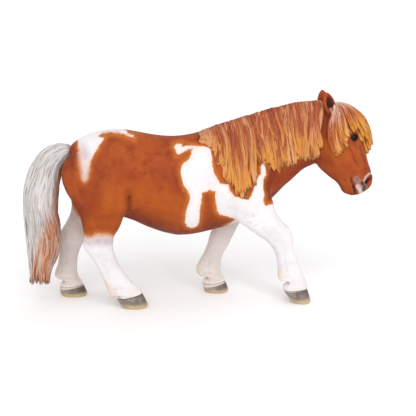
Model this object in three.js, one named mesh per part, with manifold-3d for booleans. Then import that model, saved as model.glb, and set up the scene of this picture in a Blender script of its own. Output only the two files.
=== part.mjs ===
// A life-size cast resin statue of a skewbald Shetland pony, walking, with its head lowered a little.
// Millimetres. +X is towards the nose, +Y is the pony's left, +Z is up, and the hooves stand on Z = 0.
// The flesh is lofted from measured sections, joined into one body and parted into head, neck, torso and
// legs. The mane, forelock and tail are overlapping sculpted locks laid on that flesh.

import * as THREE from 'three';
import { mergeVertices } from 'three/addons/utils/BufferGeometryUtils.js';
import Module from 'manifold-3d';

const wasm = await Module();
wasm.setup();

// Driving dimensions
const GAP = 0.3;
const BACK_HEIGHT = 897;
const CROUP_HEIGHT = 939;
const WITHERS_HEIGHT = 935;
const BELLY_HEIGHT = 369;
const POLL_HEIGHT = 1062;
const BARREL_HALF_WIDTH = 208;
const FORE_TRACK = 108;
const HIND_TRACK = 112;
const EYE_RADIUS = 20;

// Colours of the painted resin
const CHESTNUT = '#b4602f';
const WHITE = '#efe9e4';
const GINGER = '#cf8444';
const CREAM = '#e3dcd4';
const HORN = '#8d8577';
const EYE_BLACK = '#15110f';

// Solids

function solidFrom(geometry) {
  const bare = geometry.clone();
  bare.deleteAttribute('normal');
  bare.deleteAttribute('uv');
  const merged = mergeVertices(bare, 1e-3);
  const vertProperties = new Float32Array(merged.attributes.position.array);
  const triVerts = new Uint32Array(merged.index.array);
  return new wasm.Manifold(new wasm.Mesh({ numProp: 3, vertProperties, triVerts }));
}

function geometryFrom(solid) {
  const mesh = solid.getMesh();
  const geometry = new THREE.BufferGeometry();
  const corners = new THREE.BufferAttribute(new Float32Array(mesh.vertProperties), 3);
  geometry.setAttribute('position', corners);
  geometry.setIndex(new THREE.BufferAttribute(new Uint32Array(mesh.triVerts), 1));
  geometry.computeVertexNormals();
  return geometry;
}

function joined(solids) {
  return solids.reduce((whole, piece) => whole.add(piece));
}

// The largest closed surface of a solid: loose scraps and sealed hollows are dropped.
function largest(solid) {
  return solid.decompose().reduce((best, piece) => (piece.volume() > best.volume() ? piece : best));
}

// One cross-section of a limb or of the body, seen from the side. low and high are the [x, z] points
// where it meets the two sides of the outline, y is its sideways centre, half its half-width, widest the
// share of the way from low to high where it is widest, and square its exponent: 2 is an ellipse.
function section(low, high, y, half, widest = 0.5, square = 2.2) {
  return { low, high, y, half, widest, square };
}

// A closed loft through sections. grow swells it outward, for the clearance that a neighbour keeps.
function loft(sections, { sides = 16, steps = 2, grow = 0, place = new THREE.Matrix4() } = {}) {
  const curve = (pick) => new THREE.CatmullRomCurve3(sections.map(pick), false, 'centripetal');
  const lows = curve((s) => new THREE.Vector3(s.low[0], s.y, s.low[1]));
  const highs = curve((s) => new THREE.Vector3(s.high[0], s.y, s.high[1]));
  const traits = curve((s) => new THREE.Vector3(s.half, s.widest * 100, s.square * 100));
  const rings = (sections.length - 1) * steps;
  const points = [];
  for (let i = 0; i <= rings; i++) {
    const t = i / rings;
    const low = lows.getPoint(t);
    const high = highs.getPoint(t);
    const { x: half, y: widestShare, z: squareShare } = traits.getPoint(t);
    const middle = low.clone().lerp(high, widestShare / 100);
    const along = high.clone().sub(low).normalize();
    const up = high.clone().sub(middle).addScaledVector(along, grow);
    const down = low.clone().sub(middle).addScaledVector(along, -grow);
    for (let j = 0; j < sides; j++) {
      const angle = (2 * Math.PI * j) / sides;
      const rise = Math.cos(angle);
      const power = 200 / squareShare;
      const height = Math.pow(Math.abs(rise), power);
      const spread = Math.sign(Math.sin(angle)) * Math.pow(Math.abs(Math.sin(angle)), power);
      const point = middle.clone().addScaledVector(rise >= 0 ? up : down, height);
      point.y += spread * (half + grow);
      points.push(point.applyMatrix4(place));
    }
  }
  return closedTube(points, sides);
}

// Joins rings of points into a tube and closes both ends with fans.
function closedTube(points, sides) {
  const rings = points.length / sides;
  const middleOf = (first) => {
    const middle = new THREE.Vector3();
    for (let j = 0; j < sides; j++) middle.addScaledVector(points[first + j], 1 / sides);
    return middle;
  };
  const faces = [];
  for (let i = 0; i < rings - 1; i++) {
    for (let j = 0; j < sides; j++) {
      const a = i * sides + j;
      const b = i * sides + ((j + 1) % sides);
      faces.push(a, b, a + sides, b, b + sides, a + sides);
    }
  }
  const start = points.length;
  const last = (rings - 1) * sides;
  const all = [...points, middleOf(0), middleOf(last)];
  for (let j = 0; j < sides; j++) {
    const next = (j + 1) % sides;
    faces.push(start, next, j, start + 1, last + j, last + next);
  }
  const geometry = new THREE.BufferGeometry().setFromPoints(all);
  geometry.setIndex(faces);
  const solid = solidFrom(geometry);
  if (solid.volume() > 0) return solid;
  for (let f = 0; f < faces.length; f += 3) [faces[f + 1], faces[f + 2]] = [faces[f + 2], faces[f + 1]];
  geometry.setIndex(faces);
  return solidFrom(geometry);
}

// An ellipsoid of muscle, bone or clay. tilt turns it about Y, in degrees.
function mass(centre, radii, tilt = 0, detail = 14) {
  const ball = new THREE.SphereGeometry(1, detail, Math.round(detail * 0.7));
  ball.scale(...radii);
  ball.rotateY(THREE.MathUtils.degToRad(tilt));
  ball.translate(...centre);
  return solidFrom(ball);
}

// A prism through the statue from side to side. outline lists its [x, z] corners, anticlockwise as seen
// from the right with +X to the right.
function prism(outline, nearY, farY) {
  const shape = new THREE.Shape(outline.map(([x, z]) => new THREE.Vector2(x, z)));
  const geometry = new THREE.ExtrudeGeometry(shape, { depth: farY - nearY, bevelEnabled: false });
  geometry.rotateX(Math.PI / 2);
  geometry.translate(0, farY, 0);
  return solidFrom(geometry);
}

// A block whose top face runs from one [x, z] point to another, reaching down and across.
function blockUnder(from, to, depth, nearY, farY, grow = 0) {
  const run = new THREE.Vector2(to[0] - from[0], to[1] - from[1]);
  const box = new THREE.BoxGeometry(run.length() + 2 * grow, farY - nearY + 2 * grow, depth + 2 * grow);
  box.translate(0, 0, -depth / 2);
  box.rotateY(-run.angle());
  box.translate((from[0] + to[0]) / 2, (nearY + farY) / 2, (from[1] + to[1]) / 2);
  return solidFrom(box);
}

// Trunk

const TRUNK_DETAIL = { sides: 24, steps: 2 };

const TRUNK = [
  section([-722, 760], [-722, 848], 0, 34),
  section([-715, 690], [-712, 862], 0, 72),
  section([-680, 610], [-680, 886], 0, 122),
  section([-630, 550], [-630, 912], 0, 152),
  section([-560, 506], [-560, 932], 0, 170, 0.52),
  section([-470, 478], [-470, CROUP_HEIGHT], 0, 180, 0.5),
  section([-390, 450], [-390, 929], 0, 180, 0.48),
  section([-300, 408], [-300, 910], 0, 196, 0.46),
  section([-170, BELLY_HEIGHT], [-185, BACK_HEIGHT], 0, BARREL_HALF_WIDTH, 0.45),
  section([-50, 378], [-70, 911], 0, 204, 0.46),
  section([50, 402], [0, WITHERS_HEIGHT], 0, 184, 0.46),
  section([140, 425], [90, 945], 0, 170, 0.44),
  section([225, 450], [190, 900], 0, 156, 0.42),
  section([286, 478], [272, 800], 0, 130, 0.42),
  section([312, 512], [308, 700], 0, 92, 0.45),
  section([322, 552], [322, 640], 0, 40, 0.5),
];

// Neck, from inside the chest to behind the ears

const NECK = [
  section([215, 500], [-60, 905], 0, 112, 0.45),
  section([318, 522], [60, 942], 0, 122, 0.42),
  section([352, 562], [180, 972], 0, 112, 0.4),
  section([388, 606], [300, 1008], 0, 96, 0.38),
  section([446, 656], [410, 1036], 0, 84, 0.38),
  section([506, 712], [505, 1054], 0, 77, 0.4),
  section([562, 738], [590, POLL_HEIGHT], 0, 74, 0.45),
  section([620, 770], [650, 1050], 0, 66, 0.5),
];

// Head, fanned from the poll and jowl to the lips

const HEAD_DETAIL = { sides: 20, steps: 2 };

const HEAD = [
  section([566, 800], [588, 1030], 0, 48, 0.5),
  section([574, 748], [632, 1060], 0, 74, 0.55),
  section([600, 710], [690, 1048], 0, 86, 0.6, 2.4),
  section([626, 688], [748, 1000], 0, 90, 0.66, 2.5),
  section([652, 668], [792, 938], 0, 88, 0.7, 2.5),
  section([678, 650], [822, 868], 0, 77, 0.68, 2.5),
  section([700, 632], [840, 804], 0, 64, 0.62, 2.5),
  section([712, 612], [852, 752], 0, 56, 0.58, 2.5),
  section([722, 594], [866, 712], 0, 52, 0.55, 2.5),
  section([738, 576], [878, 680], 0, 53, 0.55, 2.5),
  section([762, 566], [886, 650], 0, 53, 0.52, 2.5),
  section([794, 565], [880, 620], 0, 46, 0.5, 2.4),
  section([812, 572], [862, 600], 0, 30, 0.5),
];

// Legs, from inside the shoulder or hip down to the coronet. low is the rear edge and high the front one.

const RIGHT = -1;
const LEFT = 1;

function foreRight() {
  const y = RIGHT * FORE_TRACK;
  return [
    section([60, 720], [250, 780], y + 30, 62),
    section([72, 610], [300, 646], y + 12, 74),
    section([95, 525], [334, 572], y, 70),
    section([132, 468], [350, 508], y - 6, 62),
    section([190, 430], [380, 456], y - 8, 54),
    section([245, 389], [425, 412], y - 6, 48),
    section([298, 351], [444, 362], y - 4, 45),
    section([330, 316], [441, 325], y - 2, 42),
    section([352, 278], [451, 285], y, 35),
    section([362, 235], [468, 238], y, 32),
    section([366, 190], [484, 192], y, 33),
    section([367, 152], [502, 152], y, 37),
    section([370, 130], [515, 122], y, 41),
    section([403, 118], [522, 106], y, 40),
    section([394, 94], [531, 88], y, 46),
    section([396, 70], [527, 74], y, 50),
  ];
}

function foreLeft() {
  const y = LEFT * FORE_TRACK;
  return [
    section([40, 720], [250, 780], y - 30, 62),
    section([30, 600], [305, 630], y - 12, 74),
    section([45, 505], [290, 525], y, 68),
    section([52, 440], [236, 452], y + 6, 56),
    section([38, 375], [180, 388], y + 5, 48),
    section([18, 315], [146, 320], y + 2, 43),
    section([8, 275], [123, 272], y, 37),
    section([-12, 225], [93, 222], y, 32),
    section([-38, 180], [80, 178], y, 32),
    section([-55, 145], [78, 142], y, 37),
    section([-56, 112], [83, 108], y, 41),
    section([-44, 96], [92, 93], y, 42),
    section([-15, 86], [103, 77], y, 41),
    section([-21, 64], [108, 64], y, 47),
    section([-23, 47], [106, 59], y, 49),
  ];
}

function hindRight() {
  const y = RIGHT * HIND_TRACK;
  return [
    section([-680, 850], [-450, 890], y + 50, 58),
    section([-752, 790], [-408, 828], y + 22, 78),
    section([-769, 730], [-388, 742], y + 6, 88),
    section([-762, 680], [-388, 672], y, 92),
    section([-740, 625], [-396, 602], y - 5, 90),
    section([-705, 572], [-412, 546], y - 8, 80),
    section([-674, 500], [-440, 495], y - 8, 65),
    section([-660, 440], [-470, 445], y - 6, 52),
    section([-656, 396], [-500, 400], y - 4, 44),
    section([-665, 360], [-511, 356], y - 2, 40),
    section([-656, 324], [-508, 315], y, 39),
    section([-628, 288], [-497, 280], y, 34),
    section([-600, 245], [-483, 240], y, 31),
    section([-578, 200], [-457, 198], y, 31),
    section([-560, 150], [-424, 150], y, 35),
    section([-547, 104], [-390, 113], y, 40),
    section([-532, 66], [-370, 94], y, 42),
    section([-504, 60], [-361, 88], y, 43),
    section([-497, 48], [-359, 75], y, 48),
  ];
}

function hindLeft() {
  const y = LEFT * HIND_TRACK;
  return [
    section([-680, 850], [-450, 890], y - 50, 58),
    section([-752, 790], [-408, 828], y - 22, 78),
    section([-769, 730], [-392, 742], y - 6, 88),
    section([-768, 680], [-402, 672], y, 92),
    section([-756, 625], [-430, 610], y + 5, 88),
    section([-740, 568], [-480, 556], y + 8, 78),
    section([-730, 510], [-540, 505], y + 8, 64),
    section([-740, 455], [-600, 455], y + 6, 52),
    section([-766, 405], [-640, 405], y + 4, 44),
    section([-800, 356], [-656, 355], y + 2, 40),
    section([-806, 315], [-668, 310], y, 38),
    section([-802, 270], [-692, 268], y, 33),
    section([-806, 225], [-706, 225], y, 31),
    section([-814, 180], [-712, 178], y, 31),
    section([-828, 145], [-713, 140], y, 35),
    section([-838, 115], [-708, 112], y, 40),
    section([-820, 98], [-697, 93], y, 41),
    section([-806, 84], [-688, 80], y, 42),
    section([-811, 49], [-680, 61], y, 48),
  ];
}

const LEGS = {
  leg_fore_right: foreRight(),
  leg_fore_left: foreLeft(),
  leg_hind_right: hindRight(),
  leg_hind_left: hindLeft(),
};

// Hooves, each given by its sole on the floor. The wall leans forward and the heel slopes up.

const HOOF_HEEL_RISE = 14;

const HOOVES = {
  hoof_fore_right: { leg: 'leg_fore_right', heel: [436, 14], toe: 546, sole: [454, 541] },
  hoof_fore_left: { leg: 'leg_fore_left', heel: [-15, 14], toe: 123, sole: [2, 117] },
  hoof_hind_right: { leg: 'leg_hind_right', heel: [-476, 12], toe: -330, sole: [-458, -336] },
  hoof_hind_left: { leg: 'leg_hind_left', heel: [-808, 14], toe: -661, sole: [-794, -665] },
};

function hoofSections({ leg, heel, toe, sole }) {
  const coronet = LEGS[leg].at(-1);
  const top = (point) => [point[0], point[1] - GAP];
  return [
    section(top(coronet.low), top(coronet.high), coronet.y, coronet.half - 1),
    section(heel, [toe, HOOF_HEEL_RISE], coronet.y, coronet.half + 7, 0.55),
    section([sole[0], 0], [sole[1], 0], coronet.y, coronet.half + 4, 0.55),
  ];
}

// Bones and muscles that stand out of the lofts

const EYE = { centre: [756, 71, 889], tilt: 28 };
const NOSTRIL = { centre: [861, 30, 655], tilt: 22 };
const CHIN = [752, 0, 594];

function mirrored(centre, side) {
  return [centre[0], side * centre[1], centre[2]];
}

function swellings(grow) {
  const swell = (radii) => radii.map((r) => r + grow);
  const pair = [RIGHT, LEFT].flatMap((side) => [
    mass(mirrored(EYE.centre, side), swell([34, 23, 27]), EYE.tilt, 12),
    mass(mirrored(NOSTRIL.centre, side), swell([20, 22, 29]), NOSTRIL.tilt, 10),
  ]);
  return [...pair, mass(CHIN, swell([34, 34, 24]), 20, 10)];
}

function fleshWhole(grow) {
  return joined([
    loft(TRUNK, { ...TRUNK_DETAIL, grow }),
    loft(NECK, { sides: 20, steps: 2, grow }),
    loft(HEAD, { ...HEAD_DETAIL, grow }),
    ...Object.values(LEGS).map((sections) => loft(sections, { sides: 14, steps: 1, grow })),
    ...swellings(grow),
  ]);
}

const flesh = fleshWhole(0);
const fleshGrown = fleshWhole(GAP);

// The regions that part the flesh. A leg's region stops at the trunk, so that the belly stays whole, and
// gap widens the region for the piece that is left.

const trunk = loft(TRUNK, TRUNK_DETAIL);
const trunkGrown = loft(TRUNK, { ...TRUNK_DETAIL, grow: GAP });

const REGIONS = {
  head: (gap) => prism([[566 - gap, 560], [1200, 560], [1200, 1150], [612 - gap, 1150]], -300, 300),
  neck: (gap) => prism([[358 - gap, 556 - gap], [900, 556 - gap], [900, 1150], [-58 - gap, 1150]], -300, 300),
  leg_fore_right: (gap) => legRegion([104, 452], [600, 582], RIGHT, gap),
  leg_fore_left: (gap) => legRegion([28, 446], [330, 470], LEFT, gap),
  leg_hind_right: (gap) => legRegion([-700, 512], [-436, 468], RIGHT, gap),
  leg_hind_left: (gap) => legRegion([-760, 516], [-520, 494], LEFT, gap),
};

// rear and front are the [x, z] ends of the cut across the leg.
function legRegion(rear, front, side, gap) {
  const below = -50;
  const spread = 160;
  const midline = 20;
  const outline = [
    [rear[0] - spread, below], [front[0] + spread, below], [front[0] + spread, 300],
    [front[0] + gap, front[1] - 60], [front[0] + gap, front[1] + gap],
    [rear[0] - gap, rear[1] + gap], [rear[0] - gap, rear[1] - 60], [rear[0] - spread, 300],
  ];
  const edges = [side * (midline - gap), side * 300];
  return prism(outline, Math.min(...edges), Math.max(...edges)).subtract(gap ? trunk : trunkGrown);
}

function partedFlesh() {
  const parts = {};
  let rest = flesh;
  for (const [name, region] of Object.entries(REGIONS)) {
    parts[name] = largest(rest.intersect(region(0)));
    rest = rest.subtract(region(GAP));
  }
  parts.torso = largest(rest);
  return parts;
}

// Head details: eye sockets with lids, nostrils and the line of the mouth

const EYE_OPENING = [20, 16, 12];
const NOSTRIL_OPENING = [10, 13, 17];
const MOUTH_CORNER = [748, 684];
const MOUTH_FRONT = [800, 552];
const MOUTH_GAP = 4;
const MOUTH_DEPTH = -7;

function eyeball(side, grow = 0) {
  return mass(mirrored(EYE.centre, side), Array(3).fill(EYE_RADIUS + grow), 0, 14);
}

function carvedHead(head) {
  let carved = head;
  for (const side of [RIGHT, LEFT]) {
    const [x, y, z] = mirrored(EYE.centre, side);
    carved = carved.subtract(mass([x + 4, y + side * 20, z], EYE_OPENING, EYE.tilt, 12));
    carved = carved.subtract(eyeball(side, GAP));
    const nostril = mirrored(NOSTRIL.centre, side);
    const mouthOfNostril = [nostril[0] + 11, nostril[1] + side * 13, nostril[2] - 2];
    carved = carved.subtract(mass(mouthOfNostril, NOSTRIL_OPENING, NOSTRIL.tilt, 10));
  }
  const slit = blockUnder(MOUTH_FRONT, MOUTH_CORNER, MOUTH_GAP, -90, 90);
  const core = loft(HEAD, { ...HEAD_DETAIL, grow: MOUTH_DEPTH });
  return largest(carved.subtract(slit.subtract(core)));
}

// Ears: a leaf with a cup cut into it, set on the poll and turned outwards

const EAR = [
  section([-15, -24], [15, -24], 0, 17),
  section([-23, 10], [20, 10], 0, 27),
  section([-28, 42], [18, 42], 0, 38),
  section([-26, 70], [10, 70], 0, 35),
  section([-18, 96], [2, 96], 0, 22),
  section([-9, 116], [-3, 116], 0, 4),
];

const EAR_CUP = [
  section([4, 2], [44, 2], 0, 7),
  section([-8, 24], [44, 24], 0, 19),
  section([-17, 48], [44, 48], 0, 28),
  section([-16, 74], [40, 74], 0, 25),
  section([-10, 98], [30, 98], 0, 12),
  section([-5, 108], [20, 108], 0, 3),
];

const EAR_PLACE = { x: 640, y: 58, z: 1012, turn: 38, lean: -12, splay: 6 };

function earLeaf(side, grow = 0) {
  return loft(EAR, { sides: 12, steps: 1, grow, place: earPlace(side) });
}

function earPlace(side) {
  const place = new THREE.Matrix4().makeRotationFromEuler(new THREE.Euler(
    THREE.MathUtils.degToRad(-side * EAR_PLACE.splay),
    THREE.MathUtils.degToRad(EAR_PLACE.lean),
    THREE.MathUtils.degToRad(side * EAR_PLACE.turn),
    'YXZ',
  ));
  return place.setPosition(EAR_PLACE.x, side * EAR_PLACE.y, EAR_PLACE.z);
}

function ear(side) {
  const cup = loft(EAR_CUP, { sides: 8, steps: 1, place: earPlace(side) });
  return largest(earLeaf(side).subtract(cup).subtract(fleshGrown));
}

const earsGrown = joined([earLeaf(RIGHT, GAP), earLeaf(LEFT, GAP)]);

// Where the hair lies: points on the flesh found by looking at it from outside

const fleshMesh = new THREE.Mesh(geometryFrom(flesh), new THREE.MeshBasicMaterial({ side: THREE.DoubleSide }));
fleshMesh.updateMatrixWorld(true);

function seenOnFlesh(from, target) {
  const direction = target.clone().sub(from).normalize();
  const hits = new THREE.Raycaster(from, direction).intersectObject(fleshMesh);
  return hits.length ? hits[0].point : target.clone();
}

// A closed sheet between an outer and an inner grid of points, each a list of rows.
function sheet(outer, inner) {
  const columns = outer[0].length;
  const rings = outer.map((row, i) => [...row, ...inner[i].slice().reverse()]);
  return closedTube(rings.flat(), 2 * columns);
}

// A flat lock along a path. Each stop has its point, the way out of the surface, and the lock's half-width,
// its ridge, which stands out of its middle line, and its keel, which reaches in.
function lock(path) {
  const corners = path.flatMap(({ point, out, half, ridge, keel }, k) => {
    const before = path[Math.max(k - 1, 0)].point;
    const after = path[Math.min(k + 1, path.length - 1)].point;
    const along = after.clone().sub(before).normalize();
    const across = along.clone().cross(out).normalize();
    const outward = across.clone().cross(along);
    return [
      point.clone().addScaledVector(across, half),
      point.clone().addScaledVector(outward, ridge),
      point.clone().addScaledVector(across, -half),
      point.clone().addScaledVector(outward, -keel),
    ];
  });
  return closedTube(corners, 4);
}

// How wide a lock is at a share of its length: it swells a little and then tapers to a blunt tuft.
function taper(down) {
  return 0.78 + 0.3 * Math.sin(Math.PI * Math.min(1, down * 1.1)) - 0.4 * Math.pow(down, 6);
}

// Repeatable draws from -1 to 1.
function draws(seed) {
  let state = seed;
  return () => {
    state = (state * 1664525 + 1013904223) % 4294967296;
    return (2 * state) / 4294967296 - 1;
  };
}

function alongPolyline(corners, share) {
  const reach = Math.min(Math.max(share, 0), 1) * (corners.length - 1);
  const first = Math.min(Math.floor(reach), corners.length - 2);
  const part = reach - first;
  return corners[first].map((value, k) => value + (corners[first + 1][k] - value) * part);
}

// The height of an outline of [x, z] corners at an x.
function heightAt(corners, x) {
  const next = Math.max(1, corners.findIndex((corner) => corner[0] >= x));
  const [[x0, z0], [x1, z1]] = [corners[next - 1], corners[next]];
  return z0 + ((z1 - z0) * (x - x0)) / (x1 - x0);
}

// The hair is trimmed to meet the flesh and the ears, and the mane to end where the forelock begins.

const HAIRLINE = 606;

function trimmedHair(hair) {
  return hair.subtract(fleshGrown).subtract(earsGrown);
}

function behindHairline(hair) {
  return hair.subtract(prism([[HAIRLINE, 300], [1300, 300], [1300, 1400], [HAIRLINE, 1400]], -400, 400));
}

function beforeHairline(hair) {
  const edge = HAIRLINE + GAP;
  return hair.subtract(prism([[-900, 300], [edge, 300], [edge, 1400], [-900, 1400]], -400, 400));
}

// Mane: from the withers to the poll it hangs down the right side. The hem is where the tips end.

const MANE_CREST = [[-40, 912], [60, 948], [200, 986], [340, 1024], [470, 1052], [585, 1066]];
const MANE_HEM = [
  [-80, 880], [-16, 868], [31, 815], [83, 693], [115, 640], [147, 601], [189, 590], [220, 637], [240, 690],
  [270, 801], [302, 742], [350, 704], [392, 725], [429, 729], [465, 750], [491, 776], [517, 765],
  [559, 764], [569, 817], [660, 860],
];
const MANE_DRIFT = 38;
const MANE_STOPS = [0, 0.06, 0.22, 0.48, 0.76, 1];
const MANE_CORE_STOPS = [0, 0.06, 0.22, 0.48];
const MANE_LAYERS = [
  { locks: 17, reach: 1, half: 26, lift: 10 },
  { locks: 7, reach: 0.74, half: 21, lift: 20 },
];

// One fall of the mane at a share of the crest: points over the crest and down the side, with the way out.
function maneFall(share, stops, reach, drift) {
  const [rootX, rootZ] = alongPolyline(MANE_CREST, share);
  const tipX = rootX + drift;
  const tipZ = rootZ + (heightAt(MANE_HEM, tipX) - rootZ) * reach;
  return stops.map((down) => {
    const x = rootX + (tipX - rootX) * down;
    const z = rootZ + (tipZ - rootZ) * down;
    if (down === 0) return { down, point: new THREE.Vector3(x, 8, z - 6), out: new THREE.Vector3(0, 0.2, 1) };
    const point = seenOnFlesh(new THREE.Vector3(x, -500, z), new THREE.Vector3(x, -14, z));
    const out = down < 0.1 ? new THREE.Vector3(0, -0.7, 0.7) : new THREE.Vector3(0, -1, 0.2).normalize();
    return { down, point, out };
  });
}

function maneLocks({ locks, reach, half, lift }, draw) {
  return Array.from({ length: locks }, (_, i) => {
    const share = (i + 0.5 + 0.25 * draw()) / locks;
    const drift = MANE_DRIFT * Math.sin(Math.PI * share) + 8 * draw();
    const fall = maneFall(share, MANE_STOPS, reach + (reach < 1 ? 0.16 : 0.02) * draw(), drift);
    const wide = half * (1 + 0.15 * draw());
    return lock(fall.map(({ down, point, out }) => ({
      point: point.clone().addScaledVector(out, down === 0 ? 0 : lift),
      out,
      half: wide * taper(down),
      ridge: 9 * taper(down),
      keel: 5 * taper(down),
    })));
  });
}

function maneCore() {
  const outer = [];
  const inner = [];
  for (let i = 0; i <= 8; i++) {
    const fall = maneFall(i / 8, MANE_CORE_STOPS, 1, 0);
    outer.push(fall.map(({ point, out }) => point.clone().addScaledVector(out, 8)));
    inner.push(fall.map(({ point, out }) => point.clone().addScaledVector(out, -12)));
  }
  return sheet(outer, inner);
}

function mane() {
  const draw = draws(11);
  const locks = MANE_LAYERS.flatMap((layer) => maneLocks(layer, draw));
  return largest(behindHairline(trimmedHair(joined([maneCore(), ...locks]))));
}

// Forelock: it fans from between the ears, round the axis of the head, and leaves the eyes clear. Each tip
// has its turn round that axis, in degrees, and its place along it. Over the forehead the locks stand out.

const HEAD_AXIS = { from: new THREE.Vector3(600, 0, 930), along: new THREE.Vector3(0.58, 0, -0.814) };
const FACE_WARD = new THREE.Vector3(0.814, 0, 0.58);
const FORELOCK_ROOT = -66;
const FORELOCK_TIPS = [
  [-100, 150], [-72, 142], [-48, 88], [-32, 92], [-18, 248], [0, 225], [17, 262], [30, 92], [46, 84],
  [70, 145], [100, 157],
];
const FORELOCK_STAND = 36;
const FORELOCK_STOPS = [0, 0.2, 0.45, 0.74, 1];
const FORELOCK_CORE_STOPS = [0, 0.2, 0.45];
const FORELOCK_LAYERS = [
  { locks: 11, reach: 1, half: 25, lift: 9 },
  { locks: 3, reach: 0.8, half: 20, lift: 17 },
];

function faceRay(turn, along) {
  const middle = HEAD_AXIS.from.clone().addScaledVector(HEAD_AXIS.along, along);
  const angle = THREE.MathUtils.degToRad(turn);
  const out = FACE_WARD.clone().multiplyScalar(Math.cos(angle));
  out.y = -Math.sin(angle);
  const point = seenOnFlesh(middle.clone().addScaledVector(out, 500), middle);
  return { point, out };
}

function forelockFall(share, stops, reach) {
  const [tipTurn, tipAlong] = alongPolyline(FORELOCK_TIPS, share);
  const frontness = Math.pow(Math.max(0, Math.cos(THREE.MathUtils.degToRad(tipTurn))), 2);
  return stops.map((down) => {
    const turn = tipTurn * (0.22 + 0.78 * Math.sin((down * Math.PI) / 2));
    const { point, out } = faceRay(turn, FORELOCK_ROOT + (tipAlong - FORELOCK_ROOT) * down * reach);
    const stand = FORELOCK_STAND * frontness * Math.sin(Math.min(1, down * 1.4) * (Math.PI / 2));
    return { down, out, point: point.addScaledVector(out, stand) };
  });
}

function forelockLocks({ locks, reach, half, lift }, draw) {
  return Array.from({ length: locks }, (_, i) => {
    const share = (i + 0.5 + 0.2 * draw()) / locks;
    const fall = forelockFall(share, FORELOCK_STOPS, reach + (reach < 1 ? 0.12 : 0) * draw());
    return lock(fall.map(({ down, point, out }) => ({
      point: point.clone().addScaledVector(out, down === 0 ? 0 : lift),
      out,
      half: half * taper(down) * (0.6 + 0.4 * Math.min(1, down * 2)),
      ridge: 8 * taper(down),
      keel: 7 * taper(down),
    })));
  });
}

function forelockCore() {
  const outer = [];
  const inner = [];
  for (let i = 0; i <= 8; i++) {
    const fall = forelockFall(i / 8, FORELOCK_CORE_STOPS, 1);
    outer.push(fall.map(({ point, out }) => point.clone().addScaledVector(out, 8)));
    inner.push(fall.map(({ point, out }) => point.clone().addScaledVector(out, -14 - FORELOCK_STAND)));
  }
  return sheet(outer, inner);
}

function forelock() {
  const draw = draws(23);
  const locks = FORELOCK_LAYERS.flatMap((layer) => forelockLocks(layer, draw));
  return largest(beforeHairline(trimmedHair(joined([forelockCore(), ...locks]))));
}

// Tail: the dock grows out of the rump and carries the first half, and its locks run on to three tips.
// low is the rear edge and high the edge towards the legs.

const TAIL = [
  section([-712, 858], [-704, 812], 0, 22),
  section([-745, 868], [-728, 790], 0, 36),
  section([-800, 866], [-752, 762], 0, 50),
  section([-862, 834], [-768, 724], 0, 60),
  section([-912, 782], [-776, 676], 0, 66),
  section([-943, 710], [-784, 618], 0, 70),
  section([-966, 620], [-796, 545], 0, 72),
  section([-974, 520], [-792, 472], 0, 74),
  section([-970, 420], [-780, 400], 0, 74),
  section([-968, 330], [-772, 320], 0, 70),
  section([-962, 240], [-788, 240], 0, 62),
  section([-958, 170], [-822, 170], 0, 50),
  section([-958, 112], [-846, 112], 0, 30),
];
const TAIL_TIPS = [[-962, 108], [-922, 118], [-850, 108]];
const TAIL_CORE_SECTIONS = 7;
const TAIL_CORE_SHARE = 0.84;
const TAIL_STOPS = [0.07, 0.22, 0.38, 0.56, 0.74, 0.89, 1];
const TAIL_LAYERS = [
  { locks: 9, radius: 0.72, half: 0.58, ridge: 0.26, keel: 0.46, turn: 0 },
  { locks: 4, radius: 0.88, half: 0.28, ridge: 0.12, keel: 0.18, turn: 0.4 },
];

// The middle of the tail at a share of its length, with its two half-axes.
function tailRing(share) {
  const reach = share * (TAIL.length - 1);
  const first = Math.min(Math.floor(reach), TAIL.length - 2);
  const part = reach - first;
  const [a, b] = [TAIL[first], TAIL[first + 1]];
  const mix = (pick) => pick(a) + (pick(b) - pick(a)) * part;
  const low = new THREE.Vector3(mix((s) => s.low[0]), 0, mix((s) => s.low[1]));
  const high = new THREE.Vector3(mix((s) => s.high[0]), 0, mix((s) => s.high[1]));
  return {
    middle: low.clone().add(high).multiplyScalar(0.5),
    front: high.sub(low).multiplyScalar(0.5),
    aside: new THREE.Vector3(0, mix((s) => s.half), 0),
  };
}

function tailLocks({ locks, radius, half, ridge, keel, turn }, draw) {
  return Array.from({ length: locks }, (_, i) => {
    const angle = (2 * Math.PI * (i + turn + 0.15 * draw())) / locks;
    const twist = 0.25 + 0.2 * draw();
    const length = 0.97 + 0.03 * draw();
    const tip = TAIL_TIPS[Math.min(2, Math.floor(1.5 * (1 + Math.cos(angle + twist))))];
    return lock(TAIL_STOPS.map((stop) => {
      const down = stop * length;
      const { middle, front, aside } = tailRing(down);
      const around = angle + twist * down;
      const out = front.clone().multiplyScalar(Math.cos(around)).addScaledVector(aside, Math.sin(around));
      const size = (front.length() + aside.length()) / 2;
      const thin = 1 - 0.72 * Math.pow(stop, 5);
      const point = middle.addScaledVector(out, radius);
      const gather = Math.pow(stop, 6) * 0.8;
      point.x += (tip[0] - point.x) * gather;
      point.z += (tip[1] - point.z) * (stop === 1 ? 0.9 : 0);
      return { point, out: out.normalize(), half: half * size * thin, ridge: ridge * size * thin,
        keel: keel * size * thin };
    }));
  });
}

function tail() {
  const draw = draws(37);
  const core = loft(TAIL.slice(0, TAIL_CORE_SECTIONS).map((s) => shrunk(s, TAIL_CORE_SHARE)), {
    sides: 12,
    steps: 1,
  });
  const locks = TAIL_LAYERS.flatMap((layer) => tailLocks(layer, draw));
  return largest(joined([core, ...locks]).subtract(fleshGrown));
}

function shrunk(whole, share) {
  const towards = (from, to) => from.map((value, k) => value + (to[k] - value) * ((1 + share) / 2));
  return section(towards(whole.high, whole.low), towards(whole.low, whole.high), whole.y, whole.half * share);
}

// Assembly

const pony = new THREE.Group();

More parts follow.
